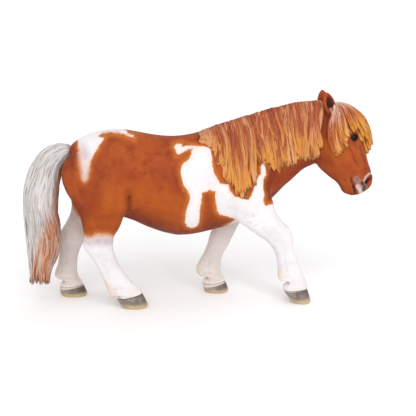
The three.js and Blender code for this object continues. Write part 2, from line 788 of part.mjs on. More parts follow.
function addNode(name, solid, colour, roughness) {
  const material = new THREE.MeshStandardMaterial({ color: colour, roughness, metalness: 0 });
  const mesh = new THREE.Mesh(geometryFrom(solid), material);
  mesh.name = name;
  pony.add(mesh);
}

const { head, ...restOfFlesh } = partedFlesh();
addNode('head', carvedHead(head), CHESTNUT, 0.55);
for (const [name, solid] of Object.entries(restOfFlesh)) {
  addNode(name, solid, name.startsWith('leg') ? WHITE : CHESTNUT, 0.55);
}

for (const [name, hoof] of Object.entries(HOOVES)) {
  addNode(name, loft(hoofSections(hoof), { sides: 16, steps: 1 }), HORN, 0.6);
}

for (const [name, side] of [['right', RIGHT], ['left', LEFT]]) {
  addNode(`eye_${name}`, eyeball(side), EYE_BLACK, 0.1);
  addNode(`ear_${name}`, ear(side), CHESTNUT, 0.55);
}

addNode('mane', mane(), GINGER, 0.6);
addNode('forelock', forelock(), GINGER, 0.6);
addNode('tail', tail(), CREAM, 0.6);

const bounds = new THREE.Box3().setFromObject(pony);
const centre = bounds.getCenter(new THREE.Vector3());
pony.position.set(-centre.x, -centre.y, -bounds.min.z);

export default pony;
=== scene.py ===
# A life-size statue of a skewbald Shetland pony, walking, cast in resin and painted by hand.
# Lengths in the sections are millimetres in the pony's own frame: X towards the nose, Y its left, Z up,
# with the hooves on Z = 0. placed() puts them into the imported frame, in metres.

import math
import random

import bpy
import numpy as np
from mathutils import Matrix, Vector
from mathutils.bvhtree import BVHTree


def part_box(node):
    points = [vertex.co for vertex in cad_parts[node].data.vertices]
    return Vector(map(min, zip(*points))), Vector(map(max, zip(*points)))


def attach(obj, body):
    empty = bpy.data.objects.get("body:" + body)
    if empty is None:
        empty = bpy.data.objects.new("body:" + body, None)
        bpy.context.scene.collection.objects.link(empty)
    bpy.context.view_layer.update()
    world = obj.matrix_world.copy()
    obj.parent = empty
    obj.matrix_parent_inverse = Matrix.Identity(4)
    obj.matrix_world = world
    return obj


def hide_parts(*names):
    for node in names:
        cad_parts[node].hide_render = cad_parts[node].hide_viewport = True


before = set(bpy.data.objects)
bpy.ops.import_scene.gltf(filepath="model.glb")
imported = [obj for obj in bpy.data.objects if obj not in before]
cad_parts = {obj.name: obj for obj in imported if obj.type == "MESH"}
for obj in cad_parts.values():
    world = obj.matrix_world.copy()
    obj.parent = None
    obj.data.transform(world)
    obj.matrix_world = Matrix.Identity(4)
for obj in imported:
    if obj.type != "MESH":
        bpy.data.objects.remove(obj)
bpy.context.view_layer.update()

# The skin: neck, trunk, legs and head are one hollow cast, taken from one mould.
# The sculptor's clay was smoothed over the bones and muscles, so no seam shows between the limbs.
# It is made from copies of the solids of flesh, melted together, smoothed and then sculpted.
FLESH = [
    "torso", "neck", "head", "ear_left", "ear_right",
    "leg_fore_right", "leg_fore_left", "leg_hind_right", "leg_hind_left",
]
FORE_TOE = 546
ROUGH_VOXEL = 4.8
VOXEL = 3.5
WELD = 0.02
WEIGHT_STEPS = 20
EYE_CENTRE = np.array([756, 71, 889])
EYE_RADIUS = 20
BOTH = RIGHT, LEFT = -1, 1
RIGHT_EYE = EYE_CENTRE * [1, RIGHT, 1]

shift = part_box("hoof_fore_right")[1].x - FORE_TOE / 1000


def placed(points):
    return np.asarray(points, float) / 1000 + np.array([shift, 0, 0])


def own(points):
    return (np.asarray(points, float) - np.array([shift, 0, 0])) * 1000


def only(*objects):
    bpy.ops.object.select_all(action="DESELECT")
    for item in objects:
        item.select_set(True)
    bpy.context.view_layer.objects.active = objects[0]


def welded(piece):
    only(piece)
    bpy.ops.object.mode_set(mode="EDIT")
    bpy.ops.mesh.select_all(action="SELECT")
    bpy.ops.mesh.remove_doubles(threshold=WELD / 1000)
    bpy.ops.object.mode_set(mode="OBJECT")


def smooth_shaded(piece):
    only(piece)
    bpy.ops.object.shade_smooth()


def worked(piece, kind, **settings):
    only(piece)
    modifier = piece.modifiers.new(kind.title(), kind)
    for setting, value in settings.items():
        setattr(modifier, setting, value)
    bpy.ops.object.modifier_apply(modifier=modifier.name)


def at_corners(piece, kind):
    values = np.empty(len(piece.data.vertices) * 3, np.float32)
    piece.data.vertices.foreach_get(kind, values)
    return values.reshape(-1, 3)


def corners_of(piece):
    return own(at_corners(piece, "co"))


def normals_of(piece):
    return at_corners(piece, "normal").astype(float)


def set_corners(piece, points):
    piece.data.vertices.foreach_set("co", placed(points).astype(np.float32).ravel())
    piece.data.update()


# A share that eases from 0 at the start to 1 at the end.
def softly(value, start, end):
    share = np.clip((value - start) / (end - start), 0, 1)
    return share * share * (3 - 2 * share)


# Points folded over to the right side, so that one path serves both sides.
def on_right(points):
    return points * [1, 0, 1] - [0, 1, 0] * np.abs(points[:, 1:2])


def copied(node, name):
    piece = bpy.data.objects.new(name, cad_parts[node].data.copy())
    bpy.context.scene.collection.objects.link(piece)
    return piece


def weighed(piece, name, weights):
    group = piece.vertex_groups.new(name=name)
    steps = np.round(np.clip(weights, 0, 1) * WEIGHT_STEPS).astype(int)
    for step in range(1, WEIGHT_STEPS + 1):
        group.add(np.nonzero(steps == step)[0].tolist(), step / WEIGHT_STEPS, "REPLACE")


# A strand of hair is one grooved ring pulled up ring by ring from its root, and closed at both ends.
STRAND_PROFILE = [
    (-1, 0), (-0.88, 0.36), (-0.70, 0.62), (-0.56, 0.38), (-0.38, 0.80), (-0.20, 0.54), (0, 0.95),
    (0.18, 0.58), (0.38, 0.86), (0.54, 0.42), (0.72, 0.62), (0.88, 0.36), (1, 0), (0.5, -0.45), (-0.5, -0.45),
]
STRAND_RINGS = 28
PATH_STEPS = 4 * STRAND_RINGS


def rolled_strand():
    bpy.ops.object.select_all(action="DESELECT")
    bpy.ops.mesh.primitive_circle_add(vertices=len(STRAND_PROFILE), radius=1)
    strand = bpy.context.object
    for vertex, (across, out) in zip(strand.data.vertices, STRAND_PROFILE):
        vertex.co = (across, out, 0)
    bpy.ops.object.mode_set(mode="EDIT")
    bpy.ops.mesh.select_all(action="SELECT")
    bpy.ops.mesh.edge_face_add()
    for _ in range(STRAND_RINGS):
        bpy.ops.mesh.extrude_region_move(TRANSFORM_OT_translate={"value": (0, 0, 1 / STRAND_RINGS)})
    bpy.ops.mesh.select_all(action="SELECT")
    bpy.ops.mesh.normals_make_consistent(inside=False)
    bpy.ops.object.mode_set(mode="OBJECT")
    return strand


strand = rolled_strand()
strand_corners = np.array([vertex.co for vertex in strand.data.vertices])
strand_faces = [tuple(polygon.vertices) for polygon in strand.data.polygons]
bpy.data.objects.remove(strand)


# A smooth curve through points, read at shares of its length.
def curve_through(points, shares):
    points = np.array(points, float)
    padded = np.vstack([2 * points[0] - points[1], points, 2 * points[-1] - points[-2]])
    reach = np.clip(np.asarray(shares), 0, 1) * (len(points) - 1)
    first = np.minimum(reach.astype(int), len(points) - 2)
    t = (reach - first)[:, None]
    a, b, c, d = (padded[first + k] for k in range(4))
    return 0.5 * (2 * b + (c - a) * t + (2 * a - 5 * b + 4 * c - d) * t**2 + (3 * b - a - 3 * c + d) * t**3)


# Bends a copy of the rolled strand along a path of points, each with the way out of the surface.
# It narrows to its tip past the share "tuft", and its sub-strands end at different lengths.
def laid(path, outs, half, thick, wave=0.0, turns=0.9, phase=0.0, tuft=0.6, tip=0.2, ragged=0.05):
    across_place, out_place, along = strand_corners.T
    along = along * (1 - ragged * (0.5 + 0.5 * np.sin(across_place * 6.5 + phase)) * softly(along, 0.5, 1))
    rings = np.linspace(0, 1, PATH_STEPS + 1)
    middle = curve_through(path, rings)
    outward = curve_through(outs, rings)
    forward = np.gradient(middle, axis=0)
    forward /= np.linalg.norm(forward, axis=1)[:, None] + 1e-9
    across = np.cross(forward, outward)
    across /= np.linalg.norm(across, axis=1)[:, None] + 1e-9
    outward = np.cross(across, forward)
    sway = wave * np.sin(rings * 2 * math.pi * turns + phase) * softly(rings, 0, 0.35)
    middle = middle + across * sway[:, None]
    ring = np.round(along * PATH_STEPS).astype(int)
    past = np.clip((along - tuft) / (1 - tuft), 0, 1)
    width = (0.78 + 0.22 * np.sin(math.pi * np.minimum(1, along * 1.2))) * (1 - (1 - tip) * past**3)
    side = across_place * half * width
    out = out_place * thick * (0.3 + 0.7 * width) * (1 - 0.75 * past**2)
    return middle[ring] + across[ring] * side[:, None] + outward[ring] * out[:, None]


def closed_piece(name, strands):
    count = len(strand_corners)
    faces = [tuple(v + i * count for v in face) for i in range(len(strands)) for face in strand_faces]
    mesh = bpy.data.meshes.new(name)
    mesh.from_pydata(placed(np.vstack(strands)).tolist(), [], faces)
    piece = bpy.data.objects.new(name, mesh)
    bpy.context.scene.collection.objects.link(piece)
    return piece


parts = [copied(node, "flesh_" + node) for node in FLESH]

# The ears stand as in their solids, with their openings turned further outwards.
EAR_BASE = np.array([640, 58, 1012])
EAR_SPLAY, EAR_LEAN, EAR_TURN, EAR_MORE = 6, -12, 38, 24


def ear_frame(side):
    turns = (
        Matrix.Rotation(math.radians(EAR_LEAN), 3, "Y")
        @ Matrix.Rotation(math.radians(-side * EAR_SPLAY), 3, "X")
    )
    return np.array(turns)


def about_up(degrees):
    return np.array(Matrix.Rotation(math.radians(degrees), 3, "Z"))


for side, part in ((LEFT, parts[FLESH.index("ear_left")]), (RIGHT, parts[FLESH.index("ear_right")])):
    base = EAR_BASE * [1, side, 1]
    local = (corners_of(part) - base) @ ear_frame(side)
    set_corners(part, local @ about_up(side * EAR_MORE).T @ ear_frame(side).T + base)

# A ball fills each eye's socket, a little smaller than the eye.
for side in BOTH:
    bpy.ops.object.select_all(action="DESELECT")
    bpy.ops.mesh.primitive_uv_sphere_add(
        segments=32, ring_count=16, radius=(EYE_RADIUS - 1) / 1000,
        location=placed(EYE_CENTRE * [1, side, 1]),
    )
    bpy.ops.object.transform_apply(location=True, rotation=True, scale=True)
    parts.append(bpy.context.object)
only(*parts)
bpy.ops.object.join()
skin = bpy.context.object
skin.name = "skin"
welded(skin)
worked(skin, "REMESH", mode="VOXEL", voxel_size=ROUGH_VOXEL / 1000)

# The trunk and neck are smoothed most and the legs less, while the head and feet keep their detail.
HEAD_TILT, HEAD_LEVEL = 0.25, 900
HEAD_BAND, LEG_BAND, FOOT_BAND = (540, 620), (420, 520), (130, 220)
CLAY_SMOOTHED = {"broad": 90, "limbs": 14, "fine": 4}


def headwards(points, start, end):
    return softly(points[:, 0] + HEAD_TILT * (points[:, 2] - HEAD_LEVEL), start, end)


points = corners_of(skin)
headward = headwards(points, *HEAD_BAND)
legward = 1 - softly(points[:, 2], *LEG_BAND)
footward = 1 - softly(points[:, 2], *FOOT_BAND)
weighed(skin, "broad", (1 - headward) * (1 - legward))
weighed(skin, "limbs", (1 - headward) * legward * (1 - footward))
weighed(skin, "fine", np.maximum(headward, footward))
for region, passes in CLAY_SMOOTHED.items():
    worked(skin, "SMOOTH", factor=0.5, iterations=passes, vertex_group=region)

# The smoothing draws the clay in, so the legs and head are swelled back to their size.
LEG_SWELL, HEAD_SWELL = 3.0, 2.0
ABOVE_HOOF = (90, 160)
swell = LEG_SWELL * legward * softly(points[:, 2], *ABOVE_HOOF) + HEAD_SWELL * headward
set_corners(skin, corners_of(skin) + normals_of(skin) * swell[:, None])

# Feather: three locks of long hair end behind each fetlock, over a notch gouged above the heel.
# Each row is a leg's middle Y, its notch in X and Z, then the rear edge of its feather down to the tip.
FEATHERS = [
    (-112, (-496, 62), (-589, 240), (-572, 195), (-555, 150), (-538, 98), (-524, 46)),
    (112, (-801, 84), (-797, 235), (-806, 190), (-816, 144), (-824, 112), (-812, 98)),
    (108, (-14, 84), (2, 260), (-20, 205), (-44, 155), (-53, 113), (-44, 94)),
    (-108, (399, 114), (366, 250), (369, 204), (371, 165), (372, 145), (372, 130)),
]
FEATHER_SUNK = (20, 15, 10, 8, 7)
# The step to the side, half-width and rise of each of a feather's three locks.
FEATHER_LOCKS = ((0, 19, 0), (-17, 15, 8), (17, 15, 10))
feathers = []
for track, _, *outline in FEATHERS:
    for step, half, rise in FEATHER_LOCKS:
        path = [
            (x + sunk + abs(step) * 0.45, track + step * 0.8, z + rise)
            for (x, z), sunk in zip(outline, FEATHER_SUNK)
        ]
        outs = [(-1, 0.02 * step, 0.25)] * len(path)
        feathers.append(laid(path, outs, half, 12, wave=2, phase=step, tuft=0.75, tip=0.5, ragged=0.04))
tufts = closed_piece("feathers", feathers)
only(skin, tufts)
bpy.ops.object.join()
worked(skin, "REMESH", mode="VOXEL", voxel_size=VOXEL / 1000)
worked(skin, "SMOOTH", factor=0.5, iterations=3)


# Each stroke of the modelling tool follows a path, raising or pressing the clay within its radius.
def path_gap(points, path):
    gap = np.full(len(points), np.inf)
    line = np.array(path, float)
    for start, end in zip(line[:-1], line[1:]):
        run = end - start
        share = np.clip((points - start) @ run / (run @ run + 1e-9), 0, 1)
        gap = np.minimum(gap, np.linalg.norm(points - start - share[:, None] * run, axis=1))
    return gap


def stroked(piece, strokes):
    points = corners_of(piece)
    normals = normals_of(piece)
    for path, radius, height, *one_side in strokes:
        for side in one_side or BOTH:
            line = np.array(path, float) * [1, -side, 1]
            low, high = line.min(0) - 3 * radius, line.max(0) + 3 * radius
            near = np.all((points > low) & (points < high), 1)
            push = height * np.exp(-((path_gap(points[near], line) / radius) ** 2))
            points[near] += normals[near] * push[:, None]
    set_corners(piece, points)


# Paths are given on the right side. Each is followed by the stroke's radius and height, and by the
# side that gets it where only one does.
FACE_VEIN = [(738, -85, 832), (757, -79, 800), (764, -76, 776), (780, -68, 750), (796, -60, 726)]
NOSE_LINE = [(795, -72, 838), (806, -64, 800), (824, -52, 768), (846, -34, 736), (856, -26, 706)]
strokes = [
    # cheek: its round edge behind, the bone under the eye, the hollow in front of it and the brow
    ([(640, -82, 742), (620, -84, 790), (614, -82, 840), (626, -80, 890)], 13, -5),
    ([(668, -86, 720), (656, -88, 760), (654, -88, 810)], 18, 3),
    ([(742, -86, 846), (776, -76, 802), (800, -64, 764)], 10, 4.5),
    ([(726, -86, 812), (756, -78, 770), (780, -66, 730)], 11, -4),
    ([(726, -84, 926), (752, -84, 928), (780, -76, 918)], 8, 4.5),
    ([(700, -80, 925), (712, -78, 940)], 15, -4.5),
    # veins of the face, and the line beside the bridge of the nose
    (FACE_VEIN, 4.5, -3.2),
    ([(748, -82, 838), (770, -76, 800), (778, -70, 776), (796, -62, 748)], 4.5, 2.8),
    (NOSE_LINE, 4.5, -3.2),
    ([(806, -68, 838), (818, -56, 800), (838, -42, 768), (852, -34, 736)], 4.5, 2.2),
    ([(720, -86, 800), (735, -82, 770), (750, -76, 745)], 5, -2.2),
    # muzzle: the mouth's line, full lips beside it, the chin and the groove behind it
    ([(754, -54, 684), (760, -52, 664), (768, -46, 640), (777, -43, 614), (786, -40, 590),
      (794, -24, 572), (798, 0, 566)], 4.5, -5.5),
    ([(774, -54, 676), (786, -52, 648), (798, -50, 618), (806, -42, 592), (810, -20, 578), (812, 0, 574)],
     8, 4),
    ([(744, -50, 656), (756, -46, 628), (768, -40, 596), (776, -22, 574), (780, 0, 566)], 8, 3.5),
    ([(730, -44, 650), (738, -26, 622), (742, 0, 612)], 10, -5),
    ([(738, -56, 700), (748, -56, 682), (760, -56, 690)], 5, 2.4),
    # nostrils: a raised rim in front and above, and the soft wing behind and below
    ([(832, -53, 630), (831, -51, 650), (842, -48, 668), (858, -40, 681), (871, -33, 680)], 5, 4.2),
    ([(846, -46, 630), (862, -38, 642), (876, -27, 656)], 6, 3.4),
    ([(852, -16, 690), (862, -12, 672), (868, 0, 660)], 12, -2),
    # neck and throat
    ([(560, -74, 800), (500, -84, 760), (440, -96, 715), (392, -100, 668), (352, -96, 620)], 18, -7),
    ([(560, -76, 860), (480, -92, 850), (400, -106, 838), (320, -120, 820)], 22, -4),
    ([(120, -130, 880), (190, -152, 800), (262, -156, 720), (300, -146, 650)], 22, 5),
    # shoulder blade, its hollow, the upper arm and the breast
    ([(-30, -150, 850), (20, -170, 780), (60, -178, 710), (110, -182, 650)], 20, -5),
    ([(40, -160, 830), (100, -172, 760), (150, -176, 690), (210, -170, 640)], 20, -5),
    ([(60, -170, 640), (110, -176, 600), (170, -176, 580), (230, -172, 590)], 24, 6),
    ([(96, -172, 536), (150, -172, 512), (220, -160, 500)], 18, -5, RIGHT),
    ([(60, -170, 480), (96, -168, 500), (130, -160, 470)], 18, -5),
    ([(290, -120, 560), (296, -60, 570), (298, 0, 560)], 16, -4),
    ([(318, 0, 700), (322, 0, 640), (318, 0, 560)], 12, -7, RIGHT),
    # underside of the jaw and neck, notch of the breast, bridge of the nose, groin, belly and coronet
    ([(566, -34, 724), (605, -38, 703), (639, -40, 676), (672, -38, 648), (694, -34, 631)], 24, 9),
    ([(387, -40, 593), (435, -40, 636), (487, -40, 689), (529, -40, 726)], 34, 5),
    ([(335, -60, 578), (330, -60, 546), (328, -60, 520)], 24, -11, RIGHT),
    ([(846, 0, 785), (862, 0, 741), (872, 0, 700)], 18, 5, RIGHT),
    ([(-424, -120, 500), (-391, -120, 484), (-340, -120, 456), (-288, -110, 434)], 46, -9),
    ([(-210, -90, 404), (-105, -90, 394), (-26, -90, 406)], 50, -5),
    ([(-393, -112, 121), (-367, -112, 103)], 16, 7, RIGHT),
    # flank fold, hip bone, loin, thigh and buttock
    ([(-400, -196, 700), (-408, -190, 650), (-416, -180, 610)], 34, -3),
    ([(-418, -172, 612), (-419, -164, 588), (-417, -154, 560), (-424, -134, 528)], 9, -9),
    ([(-398, -180, 606), (-396, -170, 566), (-402, -150, 530)], 12, 4),
    ([(-395, -160, 880), (-378, -186, 830), (-368, -196, 760)], 34, -4),
    ([(-440, -170, 880), (-430, -190, 840), (-424, -198, 800)], 30, 3.5),
    ([(-330, -140, 890), (-250, -150, 880), (-170, -150, 875)], 20, -3),
    ([(-690, -150, 780), (-700, -160, 700), (-690, -160, 620), (-660, -150, 560)], 16, -5),
    ([(-560, -196, 720), (-590, -190, 640), (-600, -180, 560)], 20, -4),
    ([(-500, -196, 700), (-520, -196, 620), (-540, -190, 540)], 28, 5),
    ([(-722, -30, 700), (-724, -24, 640), (-715, -20, 580)], 14, -6),
    # ribs and the hollow along the spine
    ([(-300, -190, 760), (-280, -204, 680), (-250, -204, 600)], 14, -2.4),
    ([(-250, -190, 770), (-225, -204, 690), (-195, -204, 600)], 14, -2.4),
    ([(-200, -190, 770), (-172, -204, 690), (-140, -204, 600)], 14, -2.2),
    ([(-560, 0, 936), (-440, 0, 942), (-300, 0, 915), (-180, 0, 900), (-80, 0, 912)], 16, -3, RIGHT),
    # right foreleg: elbow folds, forearm, knee, tendon, fetlock and pastern
    ([(100, -150, 462), (150, -160, 474), (205, -168, 492), (255, -166, 516)], 10, -5.5, RIGHT),
    ([(150, -156, 446), (205, -168, 462), (262, -166, 484)], 8, -4.5, RIGHT),
    ([(186, -160, 430), (236, -168, 446), (286, -166, 466)], 7, -3.6, RIGHT),
    ([(330, -160, 455), (360, -158, 415), (385, -154, 380)], 20, 4, RIGHT),
    ([(262, -158, 440), (306, -158, 396), (350, -154, 356)], 15, -3.5, RIGHT),
    ([(398, -150, 366), (420, -146, 340), (436, -144, 312)], 17, 4, RIGHT),
    ([(380, -148, 330), (398, -146, 306), (420, -144, 292)], 12, -2, RIGHT),
    ([(396, -140, 292), (402, -140, 240), (410, -140, 180)], 14, -3, RIGHT),
    ([(376, -136, 290), (382, -136, 240), (388, -136, 190)], 11, 1.6, RIGHT),
    ([(404, -150, 150), (440, -156, 136), (480, -150, 124)], 9, -4, RIGHT),
    ([(420, -152, 104), (460, -154, 96), (500, -148, 92)], 9, 3.5, RIGHT),
    # left foreleg
    ([(110, -150, 400), (90, -152, 350), (82, -148, 310)], 13, -4, LEFT),
    ([(100, -145, 330), (96, -142, 300), (86, -140, 272)], 12, 4.5, LEFT),
    ([(22, -140, 250), (8, -140, 210), (-4, -140, 165)], 13, -2.8, LEFT),
    ([(36, -76, 250), (22, -76, 210), (8, -76, 165)], 13, -2.8, LEFT),
    ([(-10, -150, 116), (30, -154, 110), (66, -150, 104)], 9, -4, LEFT),
    ([(-10, -66, 116), (30, -62, 110), (66, -66, 104)], 9, -4, LEFT),
    # right hind leg: gaskin, hock, tendon, fetlock and pastern
    ([(-610, -168, 480), (-580, -172, 430), (-560, -160, 385)], 16, 4, RIGHT),
    ([(-644, -146, 420), (-634, -144, 380), (-618, -140, 340)], 15, -3.5, RIGHT),
    ([(-626, -150, 390), (-606, -150, 350), (-590, -148, 320)], 13, 2.6, RIGHT),
    ([(-562, -154, 360), (-545, -150, 325), (-528, -146, 290)], 17, 3.6, RIGHT),
    ([(-584, -142, 290), (-560, -140, 236), (-534, -142, 176)], 14, -3.2, RIGHT),
    ([(-604, -138, 290), (-578, -136, 236), (-552, -136, 180)], 11, 1.6, RIGHT),
    ([(-506, -150, 110), (-460, -156, 116), (-416, -150, 120)], 9, -4, RIGHT),
    ([(-490, -152, 82), (-450, -154, 80), (-404, -148, 84)], 9, 3.5, RIGHT),
    # left hind leg, inside and out
    ([(-700, -168, 480), (-690, -160, 430), (-700, -156, 390)], 16, 3.5, LEFT),
    ([(-782, -142, 370), (-784, -140, 330), (-776, -140, 290)], 15, -3, LEFT),
    ([(-770, -80, 370), (-772, -80, 330), (-764, -80, 290)], 15, -3, LEFT),
    ([(-772, -142, 270), (-780, -138, 230), (-784, -140, 190)], 13, -2.8, LEFT),
    ([(-760, -82, 270), (-766, -82, 230), (-770, -82, 190)], 13, -2.8, LEFT),
    ([(-800, -150, 112), (-760, -154, 108), (-718, -150, 104)], 9, -4, LEFT),
    ([(-800, -72, 112), (-760, -68, 108), (-718, -72, 104)], 9, -4, LEFT),
]
# A gouge round the back of each heel ends the feather.
HEEL_GOUGE = [(14, -30), (2, -20), (-4, 0), (2, 20), (14, 30)]
GOUGE_RADIUS, GOUGE_HEIGHT = 9, -17
for track, (notch_x, notch_z), *_ in FEATHERS:
    gouge = [(notch_x + ahead, aside - abs(track), notch_z) for ahead, aside in HEEL_GOUGE]
    strokes.append((gouge, GOUGE_RADIUS, GOUGE_HEIGHT, np.sign(track)))
stroked(skin, strokes)
worked(skin, "REMESH", mode="VOXEL", voxel_size=VOXEL / 1000)
worked(skin, "SMOOTH", factor=0.5, iterations=1)

# Round the eyes, nostrils and mouth the clay is worked finer, so their faces are divided once more.
NOSTRIL = [(843, -50, 642), (856, -43, 656), (867, -35, 668)]
MOUTH = [(756, -54, 682), (768, -46, 640), (777, -43, 614), (790, -32, 582)]
FINE_ROUND_EYE, FINE_ROUND_NOSTRIL, FINE_ROUND_MOUTH = 46, 26, 14
folded = on_right(corners_of(skin))
fine = np.linalg.norm(folded - RIGHT_EYE, axis=1) < FINE_ROUND_EYE
fine |= path_gap(folded, NOSTRIL) < FINE_ROUND_NOSTRIL
fine |= path_gap(folded, MOUTH) < FINE_ROUND_MOUTH
only(skin)
bpy.ops.object.mode_set(mode="EDIT")
bpy.ops.mesh.select_all(action="DESELECT")
bpy.ops.object.mode_set(mode="OBJECT")
skin.data.vertices.foreach_set("select", fine)
bpy.ops.object.mode_set(mode="EDIT")
bpy.ops.mesh.select_mode(type="VERT")
bpy.ops.mesh.subdivide(number_cuts=1)
bpy.ops.object.mode_set(mode="OBJECT")

# The nostrils are hollowed with a loop tool, and the lids are cut back to an almond and rolled up.
NOSTRIL_WIDE, NOSTRIL_DEEP = 11.5, 15
NOSTRIL_INWARD = [-0.5, -0.8, 0.1]
points = corners_of(skin)
hollow = 1 - softly(path_gap(on_right(points), NOSTRIL), NOSTRIL_WIDE * 0.35, NOSTRIL_WIDE)
inward = np.ones_like(points) * NOSTRIL_INWARD
inward[:, 1] *= np.sign(points[:, 1])
set_corners(skin, points + inward * (NOSTRIL_DEEP * hollow)[:, None])

# The left eye looks out along EYE_OUT, and its opening is slanted.
EYE_OUT = np.array([0.30, 0.94, 0.10])
EYE_OUT /= np.linalg.norm(EYE_OUT)
level = np.cross(EYE_OUT, [0, 0, 1])
level /= np.linalg.norm(level)
EYE_SLANT = math.radians(12)
EYE_UP = np.cross(level, EYE_OUT) * math.cos(EYE_SLANT) - level * math.sin(EYE_SLANT)
EYE_FORE = np.cross(EYE_OUT, EYE_UP) * -1
OPENING_WIDE, OPENING_TALL = 20, 14
points = corners_of(skin)
for side in BOTH:
    mirror = np.array([1, side, 1])
    offset = points - EYE_CENTRE * mirror
    fore = offset @ (EYE_FORE * mirror)
    up = offset @ (EYE_UP * mirror)
    out = offset @ (EYE_OUT * mirror)
    pinch = np.maximum(1 - 0.4 * (fore / OPENING_WIDE) ** 2, 0.35)
    reach = np.hypot(fore / OPENING_WIDE, up / (OPENING_TALL * pinch))
    sunk = np.sqrt(np.maximum((EYE_RADIUS - 3) ** 2 - fore**2 - up**2, 9))
    press = np.maximum(out - sunk, 0) * (1 - softly(reach, 0.9, 1.04)) * (out > 0)
    points -= press[:, None] * (EYE_OUT * mirror)
set_corners(skin, points)


def lid(wide, tall, start, end, steps=20):
    angles = np.radians(np.linspace(start, end, steps + 1))
    middle = EYE_CENTRE + (EYE_RADIUS - 1) * EYE_OUT
    ring = [middle + wide * math.cos(a) * EYE_FORE + tall * math.sin(a) * EYE_UP for a in angles]
    return np.array(ring) * [1, RIGHT, 1]


# The lids and the folds round them: half-width, half-height and the angles between which each runs.
lids = [
    (lid(24, 17, 8, 172), 4, 4.2),
    (lid(24, 18, 188, 352), 4, 2.8),
    (lid(31, 26, 25, 150), 4, -2.6),
    (lid(31, 26, 205, 330), 4, -2.2),
    (lid(36, 33, 210, 320), 4, 1.4),
    (lid(27, 6, -14, 0), 4, -2.5),
]
stroked(skin, lids)
worked(skin, "SMOOTH", factor=0.35, iterations=2)

# The mould's limit on detail: the broad surfaces are thinned and the head keeps its fine faces.
SKIN_FACES = 190000
FINE_HEAD_BAND = (560, 640)
weighed(skin, "thinned", 1 - 0.75 * headwards(corners_of(skin), *FINE_HEAD_BAND))
faces = sum(len(polygon.vertices) - 2 for polygon in skin.data.polygons)
worked(skin, "DECIMATE", ratio=min(1, SKIN_FACES / faces), vertex_group="thinned", vertex_group_factor=1.0)
smooth_shaded(skin)


# The paint: white patches on chestnut, brushed on by hand, with edges that are soft or ragged.
# Each outline is a patch seen from the side, with its corners in X and Z.
PATCHES_RIGHT = [
    [
        (-172, 819), (-173, 843), (-188, 863), (-164, 873), (-141, 871), (-144, 859), (-116, 865), (-70, 863),
        (-11, 860), (1, 842), (7, 799), (13, 741), (27, 707), (49, 676), (88, 670), (101, 634), (124, 604),
        (158, 595), (192, 586), (213, 614), (232, 663), (247, 698), (264, 712), (268, 749), (274, 783),
        (290, 748), (292, 705), (277, 673), (275, 638), (283, 608), (273, 576), (284, 554), (307, 555),
        (420, 548), (620, 400), (620, -50), (95, -50), (100, 420), (132, 466), (98, 490), (57, 501),
        (36, 523), (28, 557), (23, 594), (21, 639), (5, 640), (-8, 652), (-25, 640), (-49, 635), (-55, 565),
        (-60, 494), (-67, 453), (-91, 438), (-119, 445), (-133, 473), (-134, 517), (-124, 563), (-111, 603),
        (-113, 629), (-123, 650), (-142, 676), (-150, 706), (-158, 746), (-150, 774), (-124, 793),
        (-100, 820), (-94, 848), (-109, 852),
    ],
    [
        (-673, 875), (-668, 851), (-658, 799), (-652, 761), (-644, 713), (-634, 718), (-627, 744),
        (-618, 774), (-615, 804), (-597, 824), (-574, 856), (-565, 877), (-537, 908), (-569, 914),
        (-547, 925), (-510, 931), (-474, 929), (-433, 921), (-401, 909), (-385, 903), (-392, 915),
        (-419, 927), (-440, 990), (-700, 990), (-690, 905),
    ],
    [
        (-900, 405), (-660, 402), (-640, 398), (-619, 396), (-600, 408), (-581, 414), (-560, 410),
        (-545, 412), (-522, 404), (-506, 396), (-490, 398), (-300, 405), (-300, -50), (-900, -50),
    ],
]
PATCHES_LEFT = [
    [
        (-160, 620), (-150, 680), (-118, 724), (-96, 770), (-50, 778), (-10, 806), (40, 790), (60, 752),
        (95, 730), (100, 690), (130, 640), (170, 628), (200, 600), (240, 630), (262, 660), (292, 640),
        (300, 600), (420, 560), (620, 400), (620, -50), (-100, -50), (-100, 350), (20, 400), (40, 450),
        (10, 500), (-40, 530), (-70, 570), (-110, 556), (-140, 580),
    ],
    [
        (-700, 990), (-690, 905), (-680, 860), (-694, 810), (-680, 770), (-650, 780), (-628, 812),
        (-600, 800), (-575, 836), (-540, 850), (-520, 880), (-470, 890), (-440, 915), (-430, 990),
    ],
    [
        (-900, 540), (-750, 515), (-731, 505), (-713, 482), (-695, 460), (-674, 434), (-654, 398),
        (-640, 385), (-600, 395), (-540, 390), (-300, 390), (-300, -50), (-900, -50),
    ],
]
# Paths where the white fades into the chestnut instead of ending in a ragged edge.
FADE_WIDE = 75
FADES = [
    [(-680, -120, 890), (-668, -150, 851), (-658, -150, 799), (-652, -150, 761), (-644, -160, 713)],
    [(-700, -120, 405), (-600, -160, 410), (-520, -140, 405)],
    [(-731, -110, 505), (-695, -90, 460), (-654, -80, 400)],
    [(100, -60, 430), (30, -90, 440), (-40, -90, 400)],
]


# How deep each point lies inside the nearest patch, in millimetres, and less than nothing outside.
def depth_in(outlines, points):
    depth = np.full(len(points), -np.inf)
    x, z = points[:, 0], points[:, 2]
    flat = np.stack([x, z * 0, z], 1)
    for outline in outlines:
        corners = np.array([(corner_x, 0, corner_z) for corner_x, corner_z in outline], float)
        inside = np.zeros(len(points), bool)
        for start, end in zip(corners, np.roll(corners, -1, 0)):
            rise = end[2] - start[2] if end[2] != start[2] else 1
            crosses = (start[2] > z) != (end[2] > z)
            inside ^= crosses & (x < start[0] + (z - start[2]) * (end[0] - start[0]) / rise)
        gap = path_gap(flat, np.vstack([corners, corners[:1]]))
        depth = np.maximum(depth, np.where(inside, gap, -gap))
    return depth


def brushed(points, path, radius):
    return 1 - softly(path_gap(points, path), radius * 0.35, radius)


